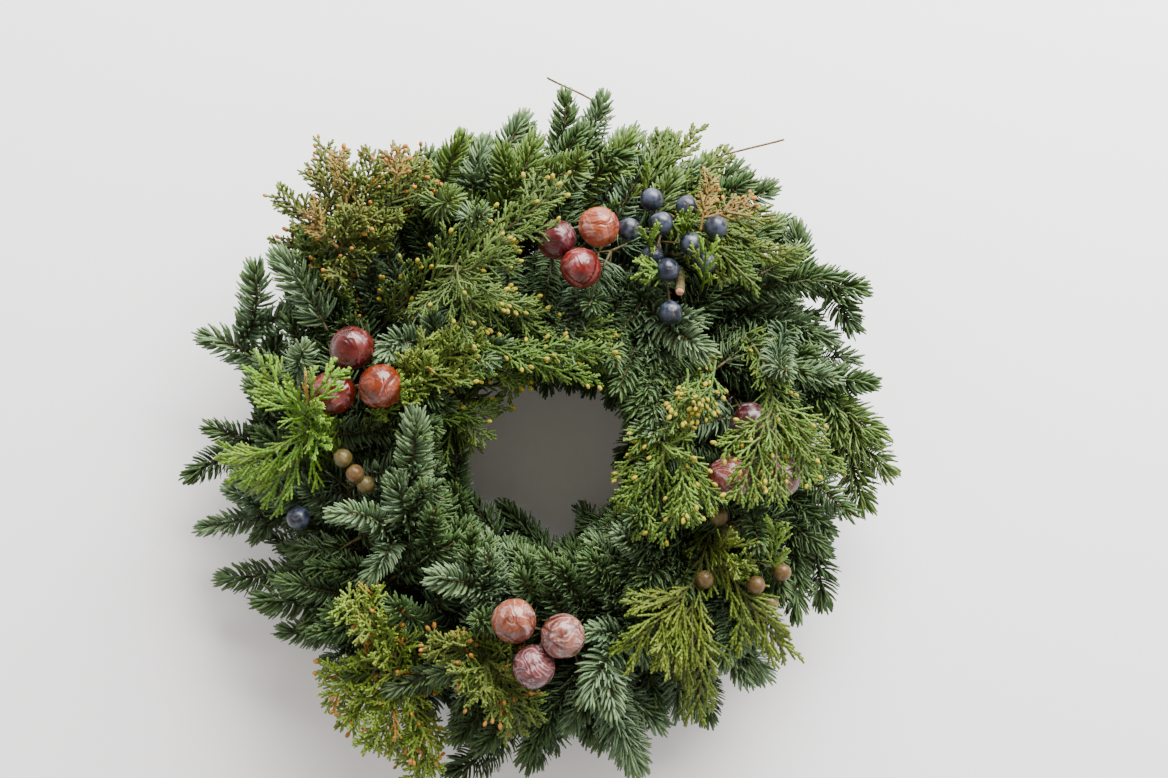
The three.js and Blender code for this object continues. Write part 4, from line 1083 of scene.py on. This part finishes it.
def clad_cords(growth):
    """Clads the cords in overlapping pairs of scales, which turn a quarter from one pair to the next."""
    way = FROND_WAYS[growth.look]
    columns = [np.array(column, dtype=float) for column in zip(*growth.cords)]
    pairs = np.maximum(2, np.round(columns[4] / way.scale).astype(int))
    for count in np.unique(pairs):
        roots, starts, ends, facing, lengths, sizes, tints = [
            column[pairs == count].reshape(-1, 1, column[0].size) for column in columns
        ]
        step = np.arange(count) / count
        along = np.append(np.ravel(np.column_stack([step, step + SCALE_LENGTH / count])), 1.0)
        wide = np.ravel(np.column_stack([np.full(count, SCALE_FOOT), np.ones(count)]))
        turned = np.repeat(np.arange(count) % 2, 2)
        taper = 1 - CORD_TAPER * along[:-1] ** 2
        narrow = np.minimum(wide, SCALE_NARROW)
        across_size, above_size = [
            np.append(np.where(turned == side, wide, narrow) * taper, CORD_END)[:, None] for side in (0, 1)
        ]
        shade = np.append(np.where(wide == 1, SCALE_SHADES[1], SCALE_SHADES[0]), SCALE_SHADES[2])
        at = along[:, None]
        centre = under_top(bent(roots, lengths, starts, ends, at))
        ahead = unit(starts * (1 - at) + ends * at)
        across = unit(np.cross(facing, ahead))
        half = 0.5 * way.width * sizes
        aside = across * half * across_size
        upward = np.cross(ahead, across) * half * above_size * way.thick
        rings = np.stack([centre + aside, centre + upward, centre - aside, centre - upward], axis=2)
        blend = TIP_SHARE * at**TIP_CURVE
        colour = (tints * (1 - blend) + way.tips * blend) * shade[:, None] * growth.tone
        growth.add_tubes(rings, np.repeat(colour[:, :, None], 4, axis=2), growth.look)


def sprout(growth, root, start, end, facing, length, size, tint):
    growth.cords.append((root, start, end, facing, length, size, tint))
    growth.tips.append((root + length * 0.5 * (start + end), end))


def fullness(share, bare):
    """How full a limb is of branchlets: it swells from its bare part, then narrows to its tip."""
    along = FULL_FROM + FULL_SPAN * (share - bare) / (1 - bare)
    return math.sin(math.pi * min(1, along)) ** FULL_CURVE


def add_branchlets(growth, path, total, bare, green, size=1.0):
    """The branchlets on both sides of one limb, and the smaller ones on them."""
    rng, way, one = growth.rng, FROND_WAYS[growth.look], BRANCHLET
    ahead, level, upper = axes_along(path)
    count = max(FEWEST_BRANCHLETS, int(total * (1 - bare) / way.spacing))
    for i, share, k, sign in spots_along(path, rng, bare, 1, count, loose=one.loose):
        past = share * (len(path) - 1) - k
        root = path[k] + (path[min(k + 1, len(path) - 1)] - path[k]) * past
        full = one.least + one.full * fullness(share, bare)
        length = size * way.length * full * rng.uniform(*one.length)
        angle = math.radians(way.angle * rng.uniform(*one.angle))
        lift = rng.normal(one.lift, way.bush)
        start = unit(ahead[k] * math.cos(angle) + sign * level[k] * math.sin(angle) + upper[k] * lift)
        end = unit(start + ahead[k] * one.bend - UP * one.hang + rng.normal(0, one.stray, 3))
        facing = unit(upper[k] + rng.normal(0, one.facing, 3))
        tint = green * rng.uniform(*one.bright)
        if rng.random() < way.orange:
            tint = ORANGE * rng.uniform(*one.orange)
        sprout(growth, root, start, end, facing, length, 1.0, tint)
        for j, sub in enumerate(SMALLER_SHARES):
            if length * (1 - sub) < SHORTEST_REST:
                continue
            point = bent(root, length, start, end, sub)
            forward = unit(start * (1 - sub) + end * sub)
            out = unit(np.cross(facing, forward)) * (1 if (i + j) % 2 else -1)
            spread = math.radians(way.angle * rng.uniform(*SMALLER.angle))
            turn = forward * math.cos(spread) + out * math.sin(spread)
            turn = unit(turn + facing * rng.normal(0, way.bush))
            close = unit(turn + forward * SMALLER.bend)
            small = length * (SMALLER.foot - SMALLER.fall * sub) * rng.uniform(*SMALLER.length)
            shade = tint * rng.uniform(*SMALLER.bright)
            sprout(growth, point, turn, close, facing, small, SMALLER.size, shade)


def frond_branches(growth, path, total, bare):
    """Side branches of a limb, left and right in turn, and their lengths."""
    rng, way = growth.rng, FROND_WAYS[growth.look]
    ahead, level, upper = axes_along(path)
    count = int(total * (BRANCH.last - bare) / way.branch_spacing)
    branches = []
    for _, share, k, sign in spots_along(path, rng, bare, BRANCH.last, count):
        side = sign * level[k] * rng.uniform(*BRANCH.aside)
        start = unit(ahead[k] + side + upper[k] * way.bush * rng.uniform(*BRANCH.lift))
        end = unit(start + ahead[k] * BRANCH.bend)
        length = way.branch * rng.uniform(*BRANCH.length) * (BRANCH.foot - BRANCH.fall * share)
        branch = bent(path[k], length, start, end, np.linspace(0, 1, BRANCH.points)[:, None])
        branches.append((under_top(branch), length))
    return branches


def add_cones(growth, share):
    """Small egg-shaped pollen cones at the ends of a share of the branchlets."""
    rng = growth.rng
    for tip, ahead in growth.tips:
        if rng.random() > share:
            continue
        size = rng.uniform(*CONE_SIZE)
        tint = CONE_TINTS[growth.look] * rng.uniform(*CONE_BRIGHT)
        shape = egg(ahead, **CONE_FORM) * CONE_ROWS * size
        growth.add(under_top(tip + ahead * size * CONE_SEAT) + shape, [SMALL_FACES], tint, "cone")
    growth.tips.clear()


def make_frond(frond, seed):
    """One cedar, juniper or cypress spray on the CAD model's limbs."""
    name, look = frond["name"], frond["look"]
    growth = Growth(look, seed, TONES_AND_HOLE_SHADE.get(name, 1.0))
    green = OTHER_TINTS.get(name, TINTS[look])
    for limb in frond["limbs"]:
        path, total, radii = smooth_limb(limb, LIMB_POINTS)
        tint = TINTS["bark"] * LIMB_TINT[0] + green * LIMB_TINT[1]
        growth.add_limb(path, radii * LIMB_SLIMMER, tint)
        bare = FROND_BARE if limb["main"] else SIDE_BARE
        add_branchlets(growth, path, total, bare, green, SHORT_FRONDS.get(name, 1.0))
        branches = frond_branches(growth, path, total, BRANCH_BARE if limb["main"] else BRANCH.bare)
        for branch, length in branches[:1] if name in OPEN_FRONDS else branches:
            growth.add_limb(branch, np.linspace(*BRANCH.radii, len(branch)), green * STEM_GREEN)
            add_branchlets(growth, branch, length, BRANCH.bare, green, BRANCH.size)
        last = unit(path[-1] - path[-3])
        growth.cords.append((path[-2], last, last, UP + LAST_FACING * last, LAST_CORD, 1.0, green))
    clad_cords(growth)
    if frond["cones"]:
        add_cones(growth, CONE_SHARE[look])
    growth.build(name + "_scales", name)


# ------------------------ loose shoots
LOOSE_GREENS = {"cedar": srgb(74, 108, 28), "cypress": srgb(74, 108, 28), "juniper": srgb(126, 96, 46)}
LOOSE_TONES = {"cedar": 0.72, "cypress": 1.0, "juniper": 0.8, "deep": 0.8, "fresh": 0.85, "frosted": 1.0}
LOOSE_NEEDLES = {"deep": 12, "fresh": 12, "frosted": 15}
LOOSE_SHOOT = Form(stray=2.5, steps=6, points=20, radii=(0.7, 0.4), bare=0.2, size=0.62)
LOOSE_CONES = 2  # times as many cones as on the large fronds


def make_loose_shoots(look, seed):
    """Loose shoots of one look, which peep out between the others and over the hole's edge."""
    growth, way = Growth(look, seed, LOOSE_TONES[look]), LOOSE_SHOOT
    for heel, tip, *rich in LOOSE[look]:
        middle = (place(heel) + place(tip)) / 2 + growth.rng.normal(0, way.stray, 3)
        points = bezier([place(heel), middle, place(tip)], way.steps)
        if look in LOOSE_NEEDLES:
            add_twig(growth, points, LOOSE_NEEDLES[look])
            continue
        path, total = smooth_path(points, way.points)
        green = LOOSE_GREENS[look]
        growth.add_limb(path, np.linspace(*way.radii, len(path)), green * STEM_GREEN)
        add_branchlets(growth, path, total, way.bare, green, way.size)
        add_cones(growth, rich[0] if rich else LOOSE_CONES * CONE_SHARE[look])
    if growth.cords:
        clad_cords(growth)
    growth.build(f"loose_{look}_shoots")


# ------------------------ fruits and berries
STALK_RADIUS = 0.62
STALK_STEPS = 6
STALK_STRAY = 0.8
WAXED = ("red_berries_bottom", "red_berries_right")
RED_TINTS = {
    "red_berries_left": [srgb(82, 28, 24), srgb(104, 42, 18), srgb(92, 26, 16)],
    "red_berries_top": [srgb(78, 22, 26), srgb(136, 70, 46), srgb(100, 28, 24)],
    "red_berries_right": [srgb(98, 34, 18), srgb(82, 34, 34), srgb(60, 20, 20)],
    "red_berries_bottom": [srgb(118, 60, 30), srgb(112, 62, 44), srgb(90, 32, 28)],
}
# The two tints between which the small berries lie, and the tint of the mark at their ends.
BERRY_TINTS = {"blue": [srgb(9, 12, 19), srgb(24, 28, 42)], "tan": [srgb(80, 76, 36), srgb(88, 56, 26)]}
BERRY_MARK = srgb(120, 110, 90)
CUT_WOOD = srgb(196, 142, 118)
SEAM_SIDE = np.array([0.31, 0.77, 0.55])
SEAM_FADE = 0.3  # the last part of a groove, over which it runs out
# A large fruit: the reach and width of its grooves, its dents and mottling (number, closeness, height),
# and the depth of the grooves and of the dimple in which they meet. A berry has only a small mark.
FRUIT = Form(
    tilt=0.6, reach=1.9, width=0.07, dents=(5, 1.8, 0.026), small_dents=(8, 4.5, 0.011),
    mottling=(4, 3, 0.12), groove=0.04, dimple=0.03, dimple_width=0.22, dark=0.45,
    swell=0.98, size=0.975,
)
SMALL_BERRY = Form(tilt=0.45, reach=0.55, width=0.045, dents=(4, 2.0, 0.012), groove=0.03)


def lumps(points, rng, count, pitch, height):
    """A few soft waves over a ball, to dent it: how many, how close they are, and how high."""
    waves = rng.normal(0, pitch, (count, 3))
    return height * np.sin(points @ waves.T + rng.uniform(0, 6, count)).sum(axis=1) / math.sqrt(count)


def seams(points, pole, reach, width, rays=3):
    """Grooves that run out from a pole: 1 in a groove's middle, 0 away from it."""
    side = unit(np.cross(pole, SEAM_SIDE))
    other = np.cross(pole, side)
    turn = np.arctan2(points @ other, points @ side)
    polar = np.arccos(np.clip(points @ pole, -1, 1))
    off = np.abs(np.mod(turn * rays / (2 * math.pi) + 0.5, 1) - 0.5) * 2 * math.pi / rays
    aside = off * np.sin(polar)
    return np.exp(-(aside / width) ** 2) * np.clip((reach - polar) / (SEAM_FADE * reach), 0, 1)


def add_red_fruit(growth, middle, radius, tint, skin):
    """A lumpy fruit with three grooves that meet in a dimple at its end."""
    points, rng, form = FRUIT_BALL, growth.rng, FRUIT
    pole = unit(rng.normal(0, form.tilt, 3) + UP)
    groove = seams(points, pole, form.reach, form.width)
    swell = form.swell + lumps(points, rng, *form.dents) + lumps(points, rng, *form.small_dents)
    off_pole = np.arccos(np.clip(points @ pole, -1, 1))
    swell -= form.groove * groove + form.dimple * np.exp(-((off_pole / form.dimple_width) ** 2))
    mottling = 1 + lumps(points, rng, *form.mottling)
    shade = tint * (1 - form.dark * groove[:, None]) * mottling[:, None]
    growth.add(middle + points * swell[:, None] * radius * form.size, [FRUIT_FACES], shade, skin)


def add_small_berry(growth, middle, radius):
    """A round berry with a small three-rayed mark at its end."""
    points, rng, form = BERRY_BALL, growth.rng, SMALL_BERRY
    pole = unit(rng.normal(0, form.tilt, 3) + UP)
    mark = seams(points, pole, form.reach, form.width)
    swell = 1 + lumps(points, rng, *form.dents) - form.groove * mark
    one, other = BERRY_TINTS[growth.look]
    tint = one + (other - one) * rng.random()
    shade = tint * (1 - mark[:, None]) + (tint * 0.5 + BERRY_MARK * 0.5) * mark[:, None]
    growth.add(middle + points * swell[:, None] * radius, [BERRY_FACES], shade, growth.look)


def add_cut_twig(growth):
    """A stout twig that ends in a cut, with its pale wood showing."""
    way = CUT_TWIG
    start, end = place(way.start), place(way.end)
    path, _ = smooth_path([start, (start + end) / 2 + way.bow * UP, end], way.points)
    growth.add_limb(path, np.full(len(path), way.radius), TINTS["bark"] * way.bright, sides=way.sides)
    wood = np.array([end + out * unit(end - start) for out in way.wood])
    growth.add_limb(wood, way.radius * way.wood_radii, CUT_WOOD, sides=way.sides)


def make_bunch(bunch, seed):
    """One bunch of fruits or berries on the CAD model's stem and stalks."""
    name, look, radius = bunch["name"], bunch["look"], bunch["radius"]
    growth = Growth(look, seed)
    path, _, radii = smooth_limb(bunch["stem"], STEM_POINTS)
    growth.add_limb(path, radii)
    for root, middle in bunch["stalks"]:
        bend = (root + middle) / 2 + growth.rng.normal(0, STALK_STRAY, 3)
        stalk = bezier([root, bend, middle], STALK_STEPS)
        growth.add_limb(stalk, np.full(len(stalk), STALK_RADIUS))
    if name == CUT_TWIG.bunch:
        add_cut_twig(growth)
    for i, (_, middle) in enumerate(bunch["stalks"]):
        if look == "red":
            skin = "waxed" if name in WAXED else "red"
            add_red_fruit(growth, middle, radius, RED_TINTS[name][i], skin)
        else:
            add_small_berry(growth, middle, radius)
    growth.build(name + "_bunch", name)


# ------------------------ ring and wire
ROD_FACES = (180, 16)
# The rod's width and height within the CAD model's faceted one.
ROD_WIDTH = 0.99
ROD_HEIGHT = 0.85
WIRE_STRAY = 0.12  # wire wound by hand is a little crooked
WIRE_FACES = 8
WIRE_POINTS = 6  # between two corners


def make_ring():
    growth = Growth("ring")
    steps, sides = ROD_FACES
    turn = np.arange(steps)[:, None] * 2 * math.pi / steps
    round_it = np.arange(sides) * 2 * math.pi / sides
    reach = RING_RADIUS + RING_WIRE * ROD_WIDTH * np.cos(round_it)
    height = np.broadcast_to(RING_HEIGHT + RING_WIRE * ROD_HEIGHT * np.sin(round_it), (steps, sides))
    rings = np.stack([np.cos(turn) * reach, np.sin(turn) * reach, height], axis=-1)
    here = np.arange(steps * sides).reshape(steps, sides)
    beside = np.roll(here, -1, axis=1)
    quads = np.stack([here, np.roll(here, -1, axis=0), np.roll(beside, -1, axis=0), beside], -1)
    growth.add(rings, [quads.reshape(-1, 4)], (1, 1, 1), "ring")
    growth.build("ring_rod", "ring_frame")


def make_wire():
    """The binding wire, round in section."""
    growth = Growth("wire", SEEDS["wire"])
    points = np.array(wire_way())
    points[:, :2] += growth.rng.normal(0, WIRE_STRAY, (len(points), 2))
    path, _ = smooth_path(points, len(points) * WIRE_POINTS)
    path[:, 2] = np.maximum(path[:, 2], WIRE_SIDE / 2)
    growth.add_limb(path, np.full(len(path), WIRE_SIDE / 2), (1, 1, 1), "wire", sides=WIRE_FACES)
    growth.build("florist_wire_winding", "binding_wire")


# ------------------------ stage, light and camera
CAMERA_PLACE = [22.0, 31.5, 856.0]  # from the ring's middle, in millimetres, as the lens and sensor
LENS = 50
SENSOR = 36
# Places, sizes and powers below are in metres and watts.
FLOOR_SIZE = 6.0
FLOOR_HEIGHT = -0.0002
WALL_LIGHT = 2.2
CEILING_LIGHT = 0.32
WALL_COLOUR = (0.975, 0.98, 1.02)
CEILING_COLOUR = (1.0, 0.9, 0.77)
FLOOR_SHADE = (0.9, 0.893, 0.918)
FLOOR_COLOUR = (0.925, 0.918, 0.943)
WINDOW = {"shape": "RECTANGLE", "size": 1.6, "size_y": 1.0, "energy": 150.0, "color": (1.0, 0.985, 0.96)}
WINDOW_PLACE = (0.5, 1.3, 0.8)


def add_object(name, data, location=(0, 0, 0)):
    item = bpy.data.objects.new(name, data)
    item.location = location
    bpy.context.collection.objects.link(item)
    return item


def make_floor():
    table = Skin("pale_table", roughness=0.55, specular=0.3)
    shade = table.ramp(table.noise(scale=3, detail=5), (0.3, FLOOR_SHADE), (0.7, FLOOR_COLOUR))
    bpy.ops.mesh.primitive_plane_add(size=FLOOR_SIZE, location=(0, 0, FLOOR_HEIGHT))
    floor = bpy.context.object
    floor.name = "table_top"
    floor.data.materials.append(table.paint(shade))


def make_lights():
    """Even light from a pale room, brighter from its walls than from above, and a wide window."""
    world = bpy.data.worlds.new("soft_room")
    bpy.context.scene.world = world
    room = Shades(world)
    up = room.add("SeparateXYZ", Vector=room.add("TexCoord").outputs["Generated"]).outputs["Z"]
    level = room.add("MapRange", Value=up, **{"To Min": WALL_LIGHT, "To Max": CEILING_LIGHT})
    background = room.tree.nodes["Background"]
    room.set(background.inputs["Strength"], level.outputs["Result"])
    room.set(background.inputs["Color"], room.ramp(up, (0.2, WALL_COLOUR), (0.8, CEILING_COLOUR)))
    light = bpy.data.lights.new("window", "AREA")
    for key, value in WINDOW.items():
        setattr(light, key, value)
    track = add_object("window", light, WINDOW_PLACE).constraints.new("TRACK_TO")
    track.target = add_object("light_aim", None)
    track.track_axis = "TRACK_NEGATIVE_Z"
    track.up_axis = "UP_Y"


def make_camera():
    data = bpy.data.cameras.new("camera")
    data.lens = LENS
    data.sensor_width = SENSOR
    camera = add_object("camera", data, (MIDDLE + CAMERA_PLACE) * MM)
    bpy.context.scene.camera = camera


# ------------------------ the whole wreath
make_camera()
make_floor()
make_lights()
make_ring()
make_wire()
bunches, fronds, sprays = route_all()
for index, bunch in enumerate(bunches):
    make_bunch(bunch, SEEDS["bunch"] + index)
for index, frond in enumerate(fronds):
    make_frond(frond, SEEDS["frond"] + index)
for index, spray in enumerate(sprays):
    make_spray(spray, SEEDS["spray"] + index)
for index in range(TURNS):
    make_low_bough(index)
for index, look in enumerate(LOOSE):
    make_loose_shoots(look, SEEDS["loose"] + index)
